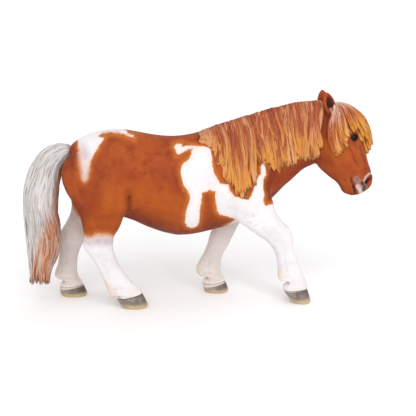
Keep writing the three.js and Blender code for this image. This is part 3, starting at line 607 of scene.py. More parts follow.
# Strokes of a brush, each a path with its radius and the share of paint that it leaves.
def brushed_all(points, strokes):
    return np.maximum.reduce([brushed(points, path, radius) * share for path, radius, share in strokes])


def painted(piece, name, values):
    attribute = piece.data.attributes.new(name, "FLOAT", "POINT")
    attribute.data.foreach_set("value", np.asarray(values, np.float32))


points = corners_of(skin)
normals = normals_of(skin)
folded = on_right(points)
leftness = softly(points[:, 1], -16, 16)
depth = depth_in(PATCHES_RIGHT, points) * (1 - leftness) + depth_in(PATCHES_LEFT, points) * leftness
painted(skin, "white_depth", depth / 1000)
painted(skin, "fade", brushed_all(folded, [(path, FADE_WIDE, 1) for path in FADES]))

# Black in the ears, nostrils, mouth and round the eyes, with grey and a pale lip brushed between.
CUP_HEIGHTS = [-10, 2, 24, 48, 74, 98, 108, 112]
CUP_HALVES = [0, 9, 21, 29, 26, 13, 4, 0]
in_ear = (folded * [1, -1, 1] - EAR_BASE) @ ear_frame(LEFT) @ about_up(EAR_TURN + EAR_MORE)
cup_half = np.interp(in_ear[:, 2], CUP_HEIGHTS, CUP_HALVES)
cup = (1 - softly(np.abs(in_ear[:, 1]), cup_half - 14, cup_half)) * softly(in_ear[:, 0], -20, -12)
cup *= 1 - 0.55 * softly(in_ear[:, 2], 50, 100)
cup *= (np.abs(in_ear[:, 2] - 52) < 62) & (cup_half > 1) & (np.abs(in_ear[:, 0]) < 34)
eye_face = (EYE_CENTRE + 18 * EYE_OUT) * [1, RIGHT, 1]
socket = 1 - softly(np.linalg.norm(folded - eye_face, axis=1), 17, 28)
under_ear = brushed(in_ear, [(18, -14, 4), (20, 0, 0), (18, 14, 4)], 22)
STREAK = [(784, -52, 662), (812, -54, 638), (832, -52, 614), (838, -48, 604)]
NOSTRIL_RIM = [(831, -54, 626), (829, -52, 648), (840, -49, 670), (857, -41, 684), (873, -33, 684)]
PALE_LIP = [(798, -52, 622), (808, -51, 606), (816, -48, 590), (818, -30, 578)]
NOSTRIL_PAINTED, STREAK_WIDE = 17, 22
black = brushed_all(folded, [
    (NOSTRIL, NOSTRIL_PAINTED, 0.92),
    # the mouth, with its corner lighter, and the streak and blot between it and the nostril
    ([(758, -52, 664), (768, -46, 640), (777, -43, 614)], 16, 0.62),
    ([(774, -46, 624), (784, -44, 596), (792, -30, 576)], 16, 0.95),
    (STREAK, STREAK_WIDE, 0.4),
    ([(822, -52, 640), (834, -50, 618), (829, -48, 602)], 15, 0.9),
    # the tear line
    ([(764, -88, 872), (768, -86, 856), (774, -80, 836)], 9, 0.4),
])
painted(skin, "dark", np.maximum.reduce([black, cup, socket * 0.95, under_ear * 0.6]))
rim = brushed(folded, NOSTRIL_RIM, 9) * (1 - brushed(folded, NOSTRIL, NOSTRIL_PAINTED))
painted(skin, "grey", np.maximum(rim, brushed(folded, STREAK, STREAK_WIDE) * 0.45))
painted(skin, "pale", brushed(folded, PALE_LIP, 18))

# Painted shade in dark red, under the belly and neck, behind the thigh and in the folds, where shade falls.
below = softly(-normals[:, 2], 0.05, 0.95) * softly(points[:, 2], 240, 380)
behind = softly(-normals[:, 0], 0.5, 1.0) * softly(points[:, 2], 380, 500) * (points[:, 0] < -400)
shade = brushed_all(folded, [
    ([(-424, -172, 640), (-419, -164, 588), (-424, -134, 528)], 34, 0.5),
    ([(-700, -120, 800), (-715, -80, 700), (-700, -110, 600)], 60, 0.8),
    ([(430, -80, 640), (500, -70, 720), (560, -60, 770)], 60, 0.8),
    ([(560, -80, 860), (600, -84, 800), (640, -80, 745)], 40, 0.5),
    ([(290, -130, 560), (300, -120, 620), (330, -110, 700)], 40, 0.7),
    ([(270, -150, 790), (302, -140, 730), (350, -128, 694), (429, -110, 716), (517, -95, 752),
      (580, -85, 752)], 24, 0.9),
    (FACE_VEIN[:4], 9, 0.55),
    (NOSE_LINE[:4], 9, 0.55),
    ([(560, -80, 960), (600, -70, 900), (620, -80, 1000)], 40, 0.4),
])
painted(skin, "shade", np.maximum.reduce([shade, below, behind]))
# A warmer gold where the chestnut is rubbed thin, on the thigh, belly, shoulder and face.
painted(skin, "glow", brushed_all(folded, [
    ([(-540, -180, 470), (-480, -180, 600), (-300, -200, 560), (-100, -200, 520)], 150, 0.8),
    ([(60, -170, 700), (40, -180, 600), (60, -180, 540)], 90, 1.0),
    ([(650, -86, 720), (700, -80, 690), (740, -66, 650)], 60, 0.8),
    ([(630, -84, 810), (680, -88, 770), (730, -84, 800)], 60, 0.8),
    ([(690, -80, 910), (650, -80, 860)], 46, 0.8),
    ([(600, -84, 860), (640, -84, 830)], 40, 0.7),
    ([(740, -84, 930), (790, -70, 900), (775, -70, 860)], 26, 0.7),
]))

# Beige on the feather, where the white is left thin, and painted shade in beige on the inner faces of the
# legs, which face away from the light.
INNER_TOP = (470, 560)
FEATHER_WIDE = (4, 44)
inner_shade = softly(-np.sign(points[:, 1]) * normals[:, 1], 0.0, 0.8) * (1 - softly(points[:, 2], *INNER_TOP))
feather = np.zeros(len(points))
for track, _, *outline in FEATHERS:
    path = [(x + 4, track, z) for x, z in outline[2:]]
    near = path_gap(points * [1, 0.6, 1] + [0, 0.4 * track, 0], path)
    feather = np.maximum(feather, 0.85 * (1 - softly(near, *FEATHER_WIDE)))
painted(skin, "inner_shade", inner_shade)
painted(skin, "feather", feather)

# Painted shade in the folds and painted highlight on their crests, from how far each point lies below its
# smoothed surroundings.
FOLD_PASSES, FOLD_DEPTH = 14, 1.5
before = corners_of(skin)
worked(skin, "SMOOTH", factor=0.5, iterations=FOLD_PASSES)
after = corners_of(skin)
set_corners(skin, before)
painted(skin, "fold_shading", np.clip(np.einsum("ij,ij->i", after - before, normals) / FOLD_DEPTH, -1, 1))


def colour(red, green, blue):
    values = [c / 255 for c in (red, green, blue)]
    linear = [c / 12.92 if c <= 0.04045 else ((c + 0.055) / 1.055) ** 2.4 for c in values]
    return (*linear, 1)


# A small builder of node trees: each call adds a node and wires what it is given.
class Nodes:
    def __init__(self, tree):
        self.tree = tree

    def set(self, socket, value):
        if isinstance(value, bpy.types.NodeSocket):
            self.tree.links.new(value, socket)
        else:
            socket.default_value = value

    def node(self, kind, **settings):
        node = self.tree.nodes.new("ShaderNode" + kind)
        for setting, value in settings.items():
            setattr(node, setting, value)
        return node

    def attribute(self, name):
        return self.node("Attribute", attribute_name=name).outputs["Fac"]

    def place(self, stretch=(1, 1, 1)):
        mapping = self.node("Mapping")
        self.set(mapping.inputs["Vector"], self.node("TexCoord").outputs["Object"])
        mapping.inputs["Scale"].default_value = stretch
        return mapping.outputs["Vector"]

    def noise(self, scale, detail=3, roughness=0.55, stretch=(1, 1, 1), vector=None):
        node = self.node("TexNoise")
        self.set(node.inputs["Vector"], vector or self.place(stretch))
        self.set(node.inputs["Scale"], scale)
        node.inputs["Detail"].default_value = detail
        node.inputs["Roughness"].default_value = roughness
        return node.outputs["Fac"]

    def math(self, operation, first, second=0.0, third=0.0):
        node = self.node("Math", operation=operation)
        for socket, value in zip(node.inputs, (first, second, third)):
            self.set(socket, value)
        return node.outputs[0]

    def times(self, first, second):
        return self.math("MULTIPLY", first, second)

    def plus(self, first, second):
        return self.math("ADD", first, second)

    # A pattern's swing to either side of its middle.
    def swing(self, value, reach):
        return self.times(self.math("SUBTRACT", value, 0.5), reach)

    def span(self, value, start, end, low=0.0, high=1.0):
        node = self.node("MapRange", interpolation_type="SMOOTHSTEP")
        for socket, given in zip(node.inputs, (value, start, end, low, high)):
            self.set(socket, given)
        return node.outputs[0]

    def mix(self, share, first, second):
        node = self.node("Mix", data_type="RGBA")
        self.set(node.inputs[0], share)
        self.set(node.inputs[6], first)
        self.set(node.inputs[7], second)
        return node.outputs[2]

    # Washes laid one over another, each with the share that it covers and its colour.
    def washed(self, coat, *washes):
        for share, tint in washes:
            coat = self.mix(share, coat, tint)
        return coat

    def bump(self, height, distance, strength, normal=None):
        node = self.node("Bump")
        node.inputs["Distance"].default_value = distance
        node.inputs["Strength"].default_value = strength
        self.set(node.inputs["Height"], height)
        if normal is not None:
            self.set(node.inputs["Normal"], normal)
        return node.outputs["Normal"]

    def group(self, tree, **values):
        node = self.node("Group", node_tree=tree)
        for name, value in values.items():
            self.set(node.inputs[name.title()], value)
        return node.outputs


class Paint(Nodes):
    def __init__(self, name):
        self.material = bpy.data.materials.new(name)
        self.material.use_nodes = True
        super().__init__(self.material.node_tree)
        self.shader = self.tree.nodes["Principled BSDF"]

    def finish(self, tint, roughness, specular, normal=None):
        self.set(self.shader.inputs["Base Color"], tint)
        self.set(self.shader.inputs["Roughness"], roughness)
        self.shader.inputs["Specular IOR Level"].default_value = specular
        if normal is not None:
            self.set(self.shader.inputs["Normal"], normal)
        return self.material


def new_group(name, inputs, outputs):
    tree = bpy.data.node_groups.new(name, "ShaderNodeTree")
    for socket, value in inputs.items():
        given = tree.interface.new_socket(name=socket, in_out="INPUT", socket_type="NodeSocketFloat")
        given.default_value = value
    for socket in outputs:
        tree.interface.new_socket(name=socket, in_out="OUTPUT", socket_type="NodeSocketFloat")
    return Nodes(tree), tree.nodes.new("NodeGroupInput").outputs, tree.nodes.new("NodeGroupOutput").inputs


# Hand-brushed paint: broad clouds, small mottling and a dry-brush grain, on the body and the hooves.
def brushwork():
    nodes, given, result = new_group(
        "brushwork", {"Cloud": 5.0, "Mottle": 22.0, "Grain": 90.0}, ("Cloud", "Mottle", "Grain")
    )
    nodes.set(result["Cloud"], nodes.noise(given["Cloud"], 4))
    nodes.set(result["Mottle"], nodes.noise(given["Mottle"], 5, 0.62))
    nodes.set(result["Grain"], nodes.noise(given["Grain"], 4, 0.65, (0.75, 1, 0.6)))
    return nodes.tree


def body_paint(brushed_on):
    paint = Paint("painted body")
    brush = paint.group(brushed_on, cloud=4.5, mottle=20.0, grain=85.0)
    cloud, mottle, grain = brush["Cloud"], brush["Mottle"], brush["Grain"]

    # the edge of the white: ragged, combed along the hair, soft where it fades, with a golden fringe
    fade = paint.attribute("fade")
    ragged = paint.swing(paint.noise(36, 4, 0.6), 0.018)
    combed = paint.swing(paint.noise(75, 3, 0.6, (1, 1, 0.28)), 0.011)
    edge = paint.plus(paint.plus(paint.attribute("white_depth"), ragged), combed)
    outer = paint.math("MULTIPLY_ADD", fade, -0.02, -0.004)
    within = paint.math("MULTIPLY_ADD", fade, 0.012, 0.005)
    patch = paint.span(edge, outer, within)
    fringe = paint.span(edge, paint.math("MULTIPLY_ADD", fade, -0.02, -0.03), 0.002)
    fringe = paint.times(fringe, paint.span(mottle, 0.36, 0.62, 0.5, 1.0))

    chestnut = paint.washed(
        colour(136, 54, 26),
        (paint.span(cloud, 0.35, 0.66), colour(164, 76, 31)),
        (paint.span(mottle, 0.46, 0.72, 0, 0.6), colour(126, 47, 24)),
        (paint.times(paint.attribute("glow"), 0.6), colour(176, 86, 26)),
        # painted shade, dark red, from the shade attribute
        (paint.times(paint.attribute("shade"), 0.75), colour(104, 36, 20)),
        (paint.span(grain, 0.52, 0.74, 0, 0.22), colour(190, 102, 52)),
        (paint.span(grain, 0.46, 0.3, 0, 0.2), colour(116, 44, 24)),
        (paint.times(fringe, 0.85), colour(200, 116, 42)),
    )

    # the white: greyed where it is thin, painted beige shade on the inner legs, beige on the feather, and
    # beige low down near the hooves
    beige = paint.times(paint.attribute("feather"), paint.span(mottle, 0.3, 0.65, 0.35, 0.85))
    height = paint.node("SeparateXYZ")
    paint.set(height.inputs[0], paint.place())
    low = paint.times(paint.span(height.outputs["Z"], 0.16, 0.05), paint.span(mottle, 0.35, 0.65, 0.1, 0.6))
    white = paint.washed(
        colour(227, 224, 226),
        (paint.span(cloud, 0.42, 0.7, 0, 0.5), colour(212, 204, 206)),
        (paint.span(mottle, 0.5, 0.75, 0, 0.35), colour(204, 192, 192)),
        (paint.times(fade, 0.85), colour(190, 172, 178)),
        (paint.span(grain, 0.46, 0.3, 0, 0.2), colour(208, 198, 198)),
        (paint.times(paint.span(edge, 0.03, 0.004), 0.45), colour(232, 206, 188)),
        (paint.times(paint.attribute("inner_shade"), 0.5), colour(194, 174, 160)),
        (beige, colour(224, 196, 158)),
        (low, colour(218, 196, 176)),
    )

    # painted shade in the folds and painted highlight on their crests, then the pale lip, the grey rims and
    # the black
    fold_shading = paint.attribute("fold_shading")
    fold_shade = paint.mix(patch, colour(78, 28, 16), colour(166, 148, 144))
    crest_highlight = paint.mix(patch, colour(182, 92, 44), colour(236, 232, 232))
    lip = paint.times(paint.attribute("pale"), paint.span(grain, 0.34, 0.58, 0.45, 0.9))
    smoky = paint.span(paint.plus(paint.attribute("dark"), paint.swing(grain, 0.9)), 0.0, 1.05)
    coat = paint.washed(
        paint.mix(patch, chestnut, white),
        (paint.times(paint.span(fold_shading, 0.1, 1.0), paint.span(patch, 0, 1, 0.75, 0.7)), fold_shade),
        (paint.span(fold_shading, -0.08, -0.9, 0, 0.4), crest_highlight),
        (lip, colour(204, 190, 186)),
        (paint.times(paint.attribute("grey"), 0.8), colour(192, 178, 172)),
        (paint.times(smoky, 0.92), colour(34, 28, 28)),
    )

    rough = paint.span(mottle, 0.3, 0.7, 0.5, 0.64)
    hairs = paint.noise(190, 4, 0.6, (0.3, 1, 0.8))
    normal = paint.bump(grain, 0.0022, 0.5, paint.bump(mottle, 0.007, 0.3))
    return paint.finish(coat, rough, 0.12, paint.bump(hairs, 0.0012, 0.5, normal))


brushwork_group = brushwork()
skin.data.materials.clear()
skin.data.materials.append(body_paint(brushwork_group))
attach(skin, "root")
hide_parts(*FLESH)

# The eyes: resin balls painted gloss black, each a little raised over its iris.
# They are set into the sockets, where the lids of the cast overlap their edges.
IRIS = 11
DOME = 1.2


def eye_paint():
    paint = Paint("glass eye")
    tint = paint.mix(paint.span(paint.noise(60, 3), 0.4, 0.7), colour(9, 8, 9), colour(22, 16, 15))
    return paint.finish(tint, 0.06, 0.2)


eye_glass = eye_paint()
for side, node in ((RIGHT, "eye_right"), (LEFT, "eye_left")):
    bpy.ops.object.select_all(action="DESELECT")
    bpy.ops.mesh.primitive_uv_sphere_add(segments=48, ring_count=32, radius=EYE_RADIUS / 1000)
    ball = bpy.context.object
    ball.name = node.replace("eye", "eyeball")
    rest = np.array([vertex.co for vertex in ball.data.vertices]) * 1000
    turn = np.array(Vector((0, 0, 1)).rotation_difference(Vector(EYE_OUT * [1, side, 1])).to_matrix())
    rest[:, 2] += np.exp(-((np.hypot(rest[:, 0], rest[:, 1]) / IRIS) ** 2)) * (rest[:, 2] > 0) * DOME
    set_corners(ball, rest @ turn.T + EYE_CENTRE * [1, side, 1])
    smooth_shaded(ball)
    ball.data.materials.append(eye_glass)
    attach(ball, "root")
    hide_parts(node)

# The hooves: horn walls cast with the legs and painted grey, with growth rings and a tan rim.
# Each is shaped from its solid: the wall is ringed and the sole keeps its flat on the ground.
HOOF_VOXEL = 2.7
RING_PITCH = 9.5
RING_DEPTH = 0.35
SOLE_FLAT = 1.2
# The share of each hoof's heel that the white hair covers.
HOOVES = {
    "hoof_fore_right": 0.08,
    "hoof_fore_left": 0.5,
    "hoof_hind_right": 0.14,
    "hoof_hind_left": 0.35,
}


def horn_paint(brushed_on):
    paint = Paint("painted horn")
    brush = paint.group(brushed_on, cloud=14.0, mottle=40.0, grain=120.0)
    up, mottle = paint.attribute("up"), brush["Mottle"]
    lines = paint.noise(70, 3, 0.6, (1, 1, 0.12))
    rim = paint.span(paint.plus(up, paint.swing(mottle, 0.2)), 0.5, 0.08)
    hairline = paint.plus(paint.attribute("heel"), paint.swing(mottle, 0.5))
    horn = paint.washed(
        colour(116, 105, 98),
        (paint.span(brush["Cloud"], 0.38, 0.64), colour(164, 152, 146)),
        (paint.times(paint.attribute("toe"), 0.85), colour(74, 66, 63)),
        (paint.span(up, 0.72, 0.98, 0, 0.6), colour(88, 80, 70)),
        (paint.span(mottle, 0.5, 0.75, 0, 0.5), colour(120, 98, 72)),
        (paint.span(lines, 0.5, 0.75, 0, 0.3), colour(78, 70, 62)),
        (rim, colour(198, 172, 134)),
        (paint.span(hairline, 0.2, 0.85), colour(214, 200, 190)),
    )
    rough = paint.span(mottle, 0.3, 0.7, 0.45, 0.62)
    return paint.finish(horn, rough, 0.3, paint.bump(lines, 0.0008, 0.5))


horn = horn_paint(brushwork_group)
for node, hair_cover in HOOVES.items():
    hoof = copied(node, node.replace("hoof", "horn"))
    welded(hoof)
    worked(hoof, "REMESH", mode="VOXEL", voxel_size=HOOF_VOXEL / 1000)
    worked(hoof, "SMOOTH", factor=0.5, iterations=8)
    points = corners_of(hoof)
    low, high = points.min(0), points.max(0)
    up = (points[:, 2] - low[2]) / (high[2] - low[2])
    ahead = (points[:, 0] - low[0]) / (high[0] - low[0])
    wall = softly(points[:, 2], 4, 10) * (1 - softly(up, 0.86, 0.94))
    rings = np.sin((points[:, 2] - 14 * ahead) * 2 * math.pi / RING_PITCH)
    points += normals_of(hoof) * (RING_DEPTH * rings * wall)[:, None]
    points[:, 2] -= points[:, 2].min()
    points[points[:, 2] < SOLE_FLAT, 2] = 0
    set_corners(hoof, points)
    painted(hoof, "up", up)
    painted(hoof, "toe", softly(ahead, 0.55, 0.95) * softly(up, 0.2, 0.6))
    painted(hoof, "heel", softly(up - 0.95 + hair_cover - 0.9 * ahead * (hair_cover + 0.1), -0.1, 0.15))
    hoof.data.materials.clear()
    hoof.data.materials.append(horn)
    smooth_shaded(hoof)
    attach(hoof, "root")
    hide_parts(node)

# The mane: strands of clay rolled flat, combed with a wire tool and laid over the crest in layers,
# then cast with the neck. It hangs down the right side, ginger at the roots and gold at the tips.
surface = BVHTree.FromPolygons(
    [Vector(point) for point in placed(corners_of(skin))],
    [tuple(polygon.vertices) for polygon in skin.data.polygons],
)


def on_skin(start, target):
    origin, aim = (Vector(point) for point in placed([start, target]))
    hit = surface.ray_cast(origin, (aim - origin).normalized())[0]
    return own(hit) if hit is not None else np.array(target, float)


def along_line(corners, share):
    corners = np.array(corners, float)
    reach = min(max(share, 0), 1) * (len(corners) - 1)
    first = min(int(reach), len(corners) - 2)
    return corners[first] + (corners[first + 1] - corners[first]) * (reach - first)


STRIP_SIDE_GAP, STRIP_END_GAP = 0.06, 0.04


# Joins laid strands into one piece. Each keeps its tone, and a strip of its own in the bake's map,
# in the order of the strands' roots on the skin.
def hair_piece(name, strands, tones, columns):
    piece = closed_piece(name, strands)
    mesh = piece.data
    count = len(strand_corners)
    across_place, out_place, share = strand_corners.T
    painted(piece, "along", np.tile(share, len(strands)))
    painted(piece, "across", np.tile(across_place, len(strands)))
    painted(piece, "groove", np.tile(out_place, len(strands)))
    painted(piece, "tone", np.repeat(tones, count))
    around = np.arange(count) % len(STRAND_PROFILE)
    rows = math.ceil(len(strands) / columns)
    order = np.argsort(np.argsort([strand[0][0] + 0.01 * strand[0][1] for strand in strands]))
    loops = np.empty(len(mesh.loops), np.int32)
    mesh.loops.foreach_get("vertex_index", loops)
    seat = around[loops % count].astype(float)
    # the face that closes the ring ends at the strip's far edge
    for polygon in mesh.polygons:
        span = slice(polygon.loop_start, polygon.loop_start + polygon.loop_total)
        if polygon.loop_total == 4 and seat[span].max() == len(STRAND_PROFILE) - 1 and seat[span].min() == 0:
            seat[span] = np.where(seat[span] == 0, len(STRAND_PROFILE), seat[span])
    which = order[loops // count]
    over = STRIP_SIDE_GAP + (1 - 2 * STRIP_SIDE_GAP) * seat / len(STRAND_PROFILE)
    down = STRIP_END_GAP + (1 - 2 * STRIP_END_GAP) * share[loops % count]
    u = (which % columns + over) / columns
    v = (which // columns + down) / rows
    uv = mesh.uv_layers.new(name="OFBake")
    uv.data.foreach_set("uv", np.stack([u, v], 1).astype(np.float32).ravel())
    smooth_shaded(piece)
    return piece


# Combed hair: streaks and fine hairs that run down each strand, different on every strand.
def combing():
    nodes, given, result = new_group(
        "combing", {"Along": 0.0, "Across": 0.0, "Tone": 0.0}, ("Streak", "Hairs")
    )
    for name, wide, long, seed, scale in (("Streak", 1.2, 0.8, 40, 2.4), ("Hairs", 5, 2.5, 60, 2.2)):
        lines = nodes.node("CombineXYZ")
        shifted = nodes.times(given["Tone"], float(seed))
        nodes.set(lines.inputs[0], nodes.math("MULTIPLY_ADD", given["Across"], float(wide), shifted))
        nodes.set(lines.inputs[1], nodes.times(given["Along"], float(long)))
        nodes.set(result[name], nodes.noise(float(scale), 4, 0.6, vector=lines.outputs[0]))
    return nodes.tree


# Hair is painted from root to tip, then combed light and dark, with painted shade in the grooves and under
# the strands. "extra" adds the piece's own washes.
def hair_paint(name, combed, tints, gold_from, extra=None):
    paint = Paint(name)
    along, across, tone, groove = (
        paint.attribute(kind) for kind in ("along", "across", "tone", "groove")
    )
    comb = paint.group(combed, along=along, across=across, tone=tone)
    drift = paint.plus(along, paint.swing(tone, 0.5))
    golden = paint.times(paint.span(tone, 0.5, 0.6), paint.span(tone, 0.8, 0.7, 0, 0.6))
    dark, light = tints["dark"], tints["light"]
    hair = paint.washed(
        tints["root"],
        (paint.span(along, 0.02, 0.3), tints["middle"]),
        (paint.span(drift, gold_from, gold_from + 0.4), tints["tip"]),
        (paint.times(golden, paint.span(along, 0.1, 0.5)), tints["tip"]),
        (paint.span(tone, 0.34, 0.06, 0, 0.6), dark),
        (paint.span(tone, 0.84, 0.94, 0, 0.6), light),
    )
    if extra:
        hair, dark = extra(paint, hair, dark, comb["Streak"])
    # painted shade in the grooves between the sub-strands and on the strands' undersides
    groove_shade = paint.times(paint.span(groove, 0.58, 0.3), paint.span(along, 0.75, 0.97, 0.6, 0.1))
    strand_underside_shade = paint.times(paint.span(groove, 0.02, -0.3), paint.span(along, 0.98, 0.8, 0.2, 1))
    hair = paint.washed(
        hair,
        (paint.span(comb["Streak"], 0.52, 0.66, 0, 0.85), light),
        (paint.span(comb["Streak"], 0.48, 0.34, 0, 0.8), dark),
        (groove_shade, dark),
        (strand_underside_shade, tints["underside_shade"]),
    )
    rough = paint.span(comb["Hairs"], 0.3, 0.7, 0.5, 0.62)
    return paint.finish(hair, rough, 0.2, paint.bump(comb["Hairs"], 0.003, 0.5))


combing_group = combing()
# The colour of the painted shade under the ginger strands.
GINGER_UNDERSIDE_SHADE = colour(116, 46, 22)
MANE_TINTS = {
    "root": colour(158, 74, 44), "middle": colour(172, 82, 44), "tip": colour(220, 146, 64),
    "dark": colour(124, 50, 32), "light": colour(222, 166, 122), "underside_shade": GINGER_UNDERSIDE_SHADE,
}
MANE_CREST = [(-40, 911), (60, 948), (200, 990), (340, 1030), (470, 1058), (585, 1068)]
MANE_HEM = [
    (-80, 880), (-16, 868), (31, 815), (83, 693), (115, 640), (147, 601), (189, 590), (220, 637), (240, 690),
    (270, 801), (302, 742), (350, 704), (392, 725), (429, 729), (465, 750), (491, 776), (517, 765),
    (559, 764), (580, 764), (592, 825), (660, 880),
]
MANE_DRIFT = 38
MANE_LAYERS = [
    {"strands": 40, "reach": (0.97, 1.02), "half": 19, "lift": 4},
    {"strands": 46, "reach": (0.88, 1.01), "half": 14, "lift": 8},
    {"strands": 64, "reach": (0.6, 0.99), "half": 8.5, "lift": 11},
]
PHASES = (0, 6.3)
draw = random.Random(7)


def combed_strand(path, outs, half, thick, waves, turns, **ends):
    return laid(
        path, outs, half, thick, wave=draw.uniform(*waves), turns=draw.uniform(*turns),
        phase=draw.uniform(*PHASES), **ends,
    )


def mane_strand(share, reach, half, lift):
    root_x, root_z = along_line(MANE_CREST, share)
    tip_x = root_x + MANE_DRIFT * math.sin(math.pi * share) + draw.uniform(-9, 9)
    hem_x, hem_z = zip(*MANE_HEM)
    tip_z = root_z + (np.interp(tip_x, hem_x, hem_z) - root_z) * reach
    rise = draw.uniform(-3, 4)
    # the root starts under the crest on the left and comes over it
    path = [
        np.array([root_x - 8, 20.0, root_z - 22]),
        np.array([root_x - 3, 6.0, root_z - 2 + rise + 0.4 * lift]),
    ]
    outs = [(0, 1, 0.4), (0, 0.1, 1)]
    for down in (0.07, 0.2, 0.36, 0.52, 0.68, 0.84, 1.0):
        bow = 14 * math.sin(math.pi * down) * (share - 0.35)
        x = root_x + (tip_x - root_x) * down - bow
        z = root_z + (tip_z - root_z) * down
        out = np.array([0, -1, 0.7 - 0.5 * min(1, down * 4)])
        out /= np.linalg.norm(out)
        point = on_skin((x, -500, z), (x, -14, z))
        path.append(point + out * lift)
        outs.append(out)
    return combed_strand(
        path, outs, half, thick=3 + 0.3 * half, waves=(4, 11), turns=(0.7, 1.5),
        tuft=0.8, tip=0.4, ragged=0.07,
    )


strands, tones = [], []
for layer in MANE_LAYERS:
    for i in range(layer["strands"]):
        share = (i + 0.5 + draw.uniform(-0.35, 0.35)) / layer["strands"]
        reach = draw.uniform(*layer["reach"])
        strands.append(mane_strand(share, reach, layer["half"] * draw.uniform(0.85, 1.2), layer["lift"]))
        tones.append(draw.random() if share > 0.1 else draw.uniform(0.9, 1))
mane = hair_piece("mane_strands", strands, tones, columns=17)
mane.data.materials.append(hair_paint("painted mane", combing_group, MANE_TINTS, gold_from=0.52))
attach(mane, "root")
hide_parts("mane")

# The forelock: longer strands that fan from between the ears over the forehead, in four layers.
# The front ones stand clear of the face, and the side ones leave the eyes free.
HEAD_FROM = np.array([600, 0, 930])
HEAD_ALONG = np.array([0.58, 0, -0.814])
FACE_WARD = np.array([0.814, 0, 0.58])
FORELOCK_ROOT = -66
FORELOCK_TIPS = [
    (-104, 150), (-72, 146), (-48, 102), (-32, 108), (-18, 250), (0, 240), (17, 262), (30, 108),
    (46, 100), (72, 152), (104, 160),
]
FORELOCK_STAND = 38
FORELOCK_SHOWN = math.radians(55)
FORELOCK_LAYERS = [
    {"strands": 24, "reach": (0.96, 1.0), "half": 21, "lift": 4, "stand": 0.2},
    {"strands": 26, "reach": (0.93, 1.01), "half": 17, "lift": 8, "stand": 0.6},
    {"strands": 34, "reach": (0.9, 1.02), "half": 13, "lift": 11, "stand": 0.98},
    {"strands": 40, "reach": (0.66, 0.98), "half": 8, "lift": 14, "stand": 1.04},
]
FORELOCK_TINTS = {
    "root": colour(196, 112, 66), "middle": colour(184, 92, 40), "tip": colour(216, 142, 50),
    "dark": colour(144, 64, 32), "light": colour(226, 168, 112), "underside_shade": GINGER_UNDERSIDE_SHADE,
}


def forelock_strand(share, layer):
    tip_turn, tip_along = along_line(FORELOCK_TIPS, share)
    tip_turn += draw.uniform(-3, 3)
    reach = draw.uniform(*layer["reach"])
    frontness = max(0, math.cos(math.radians(tip_turn * 1.1))) ** 2
    path, outs = [], []
    for down in (0, 0.12, 0.26, 0.42, 0.6, 0.8, 1.0):
        turn = math.radians(tip_turn * (0.3 + 0.7 * math.sin(down * math.pi / 2)))
        middle = HEAD_FROM + HEAD_ALONG * (FORELOCK_ROOT + (tip_along - FORELOCK_ROOT) * down * reach)
        out = FACE_WARD * math.cos(turn)
        out[1] = -math.sin(turn)
        point = on_skin(middle + out * 500, middle)
        stand = FORELOCK_STAND * layer["stand"] * frontness * math.sin(min(1, down * 1.4) * math.pi / 2)
        stand *= 1 - 0.15 * down**3
        path.append(point + out * (stand + (layer["lift"] if down else -4)))
        shown = turn + math.copysign(FORELOCK_SHOWN * frontness * down, tip_turn)
        outs.append(FACE_WARD * math.cos(shown) - np.array([0, math.sin(shown), 0]))
    half = layer["half"] * draw.uniform(0.85, 1.15)
    return combed_strand(
        path, outs, half, thick=3 + 0.28 * half, waves=(2, 7), turns=(0.6, 1.2),
        tuft=0.78, tip=0.4, ragged=0.06,
    )


def whitened(paint, hair, dark, streak):
    top = paint.times(paint.span(paint.attribute("along"), 0.6, 0.14), paint.span(streak, 0.34, 0.54))
    near_middle = paint.span(paint.attribute("tone"), 0.1, 0.6, 0.5, 1.0)
    return paint.mix(paint.times(top, near_middle), hair, colour(236, 208, 196)), dark


strands, tones = [], []
for layer in FORELOCK_LAYERS:
    for i in range(layer["strands"]):
        share = (i + 0.5 + draw.uniform(-0.3, 0.3)) / layer["strands"]
        strands.append(forelock_strand(share, layer))
        tones.append(draw.random())
forelock = hair_piece("forelock_strands", strands, tones, columns=14)
forelock.data.materials.append(
    hair_paint("painted forelock", combing_group, FORELOCK_TINTS, gold_from=0.55, extra=whitened)
)
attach(forelock, "root")
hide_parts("forelock")

# The tail: strands laid round a core that grows out of the rump, and gathered into three tips.
# It is cast with the body and painted cream, with ginger brushed into its lower strands and front edge.
TAIL = [
    # rear edge X and Z, front edge X and Z, half-width
    (-712, 858, -704, 812, 22),
    (-745, 868, -728, 790, 36),
    (-800, 866, -752, 762, 50),
    (-862, 834, -768, 724, 60),
    (-912, 782, -776, 676, 66),
    (-943, 710, -784, 618, 70),
    (-966, 620, -796, 545, 72),
    (-974, 520, -792, 472, 74),
    (-970, 420, -780, 400, 74),
    (-968, 330, -772, 320, 70),
    (-962, 240, -788, 240, 62),
    (-958, 170, -822, 170, 50),
    (-958, 112, -846, 112, 30),
]
TAIL_TIPS = [(-953, 110), (-908, 108), (-864, 104)]
TAIL_LAYERS = [
    {"strands": 24, "sunk": 19, "half": 20, "thick": 13},
    {"strands": 36, "sunk": 13, "half": 12, "thick": 10},
    {"strands": 44, "sunk": 7, "half": 7, "thick": 7},
    {"strands": 12, "sunk": 40, "half": 26, "thick": 20},
    {"strands": 4, "sunk": 60, "half": 34, "thick": 30},
]
TAIL_TINTS = {
    "root": colour(232, 228, 229), "middle": colour(230, 226, 225), "tip": colour(224, 214, 206),
    "dark": colour(184, 172, 168), "light": colour(242, 240, 241), "underside_shade": colour(164, 146, 136),
}


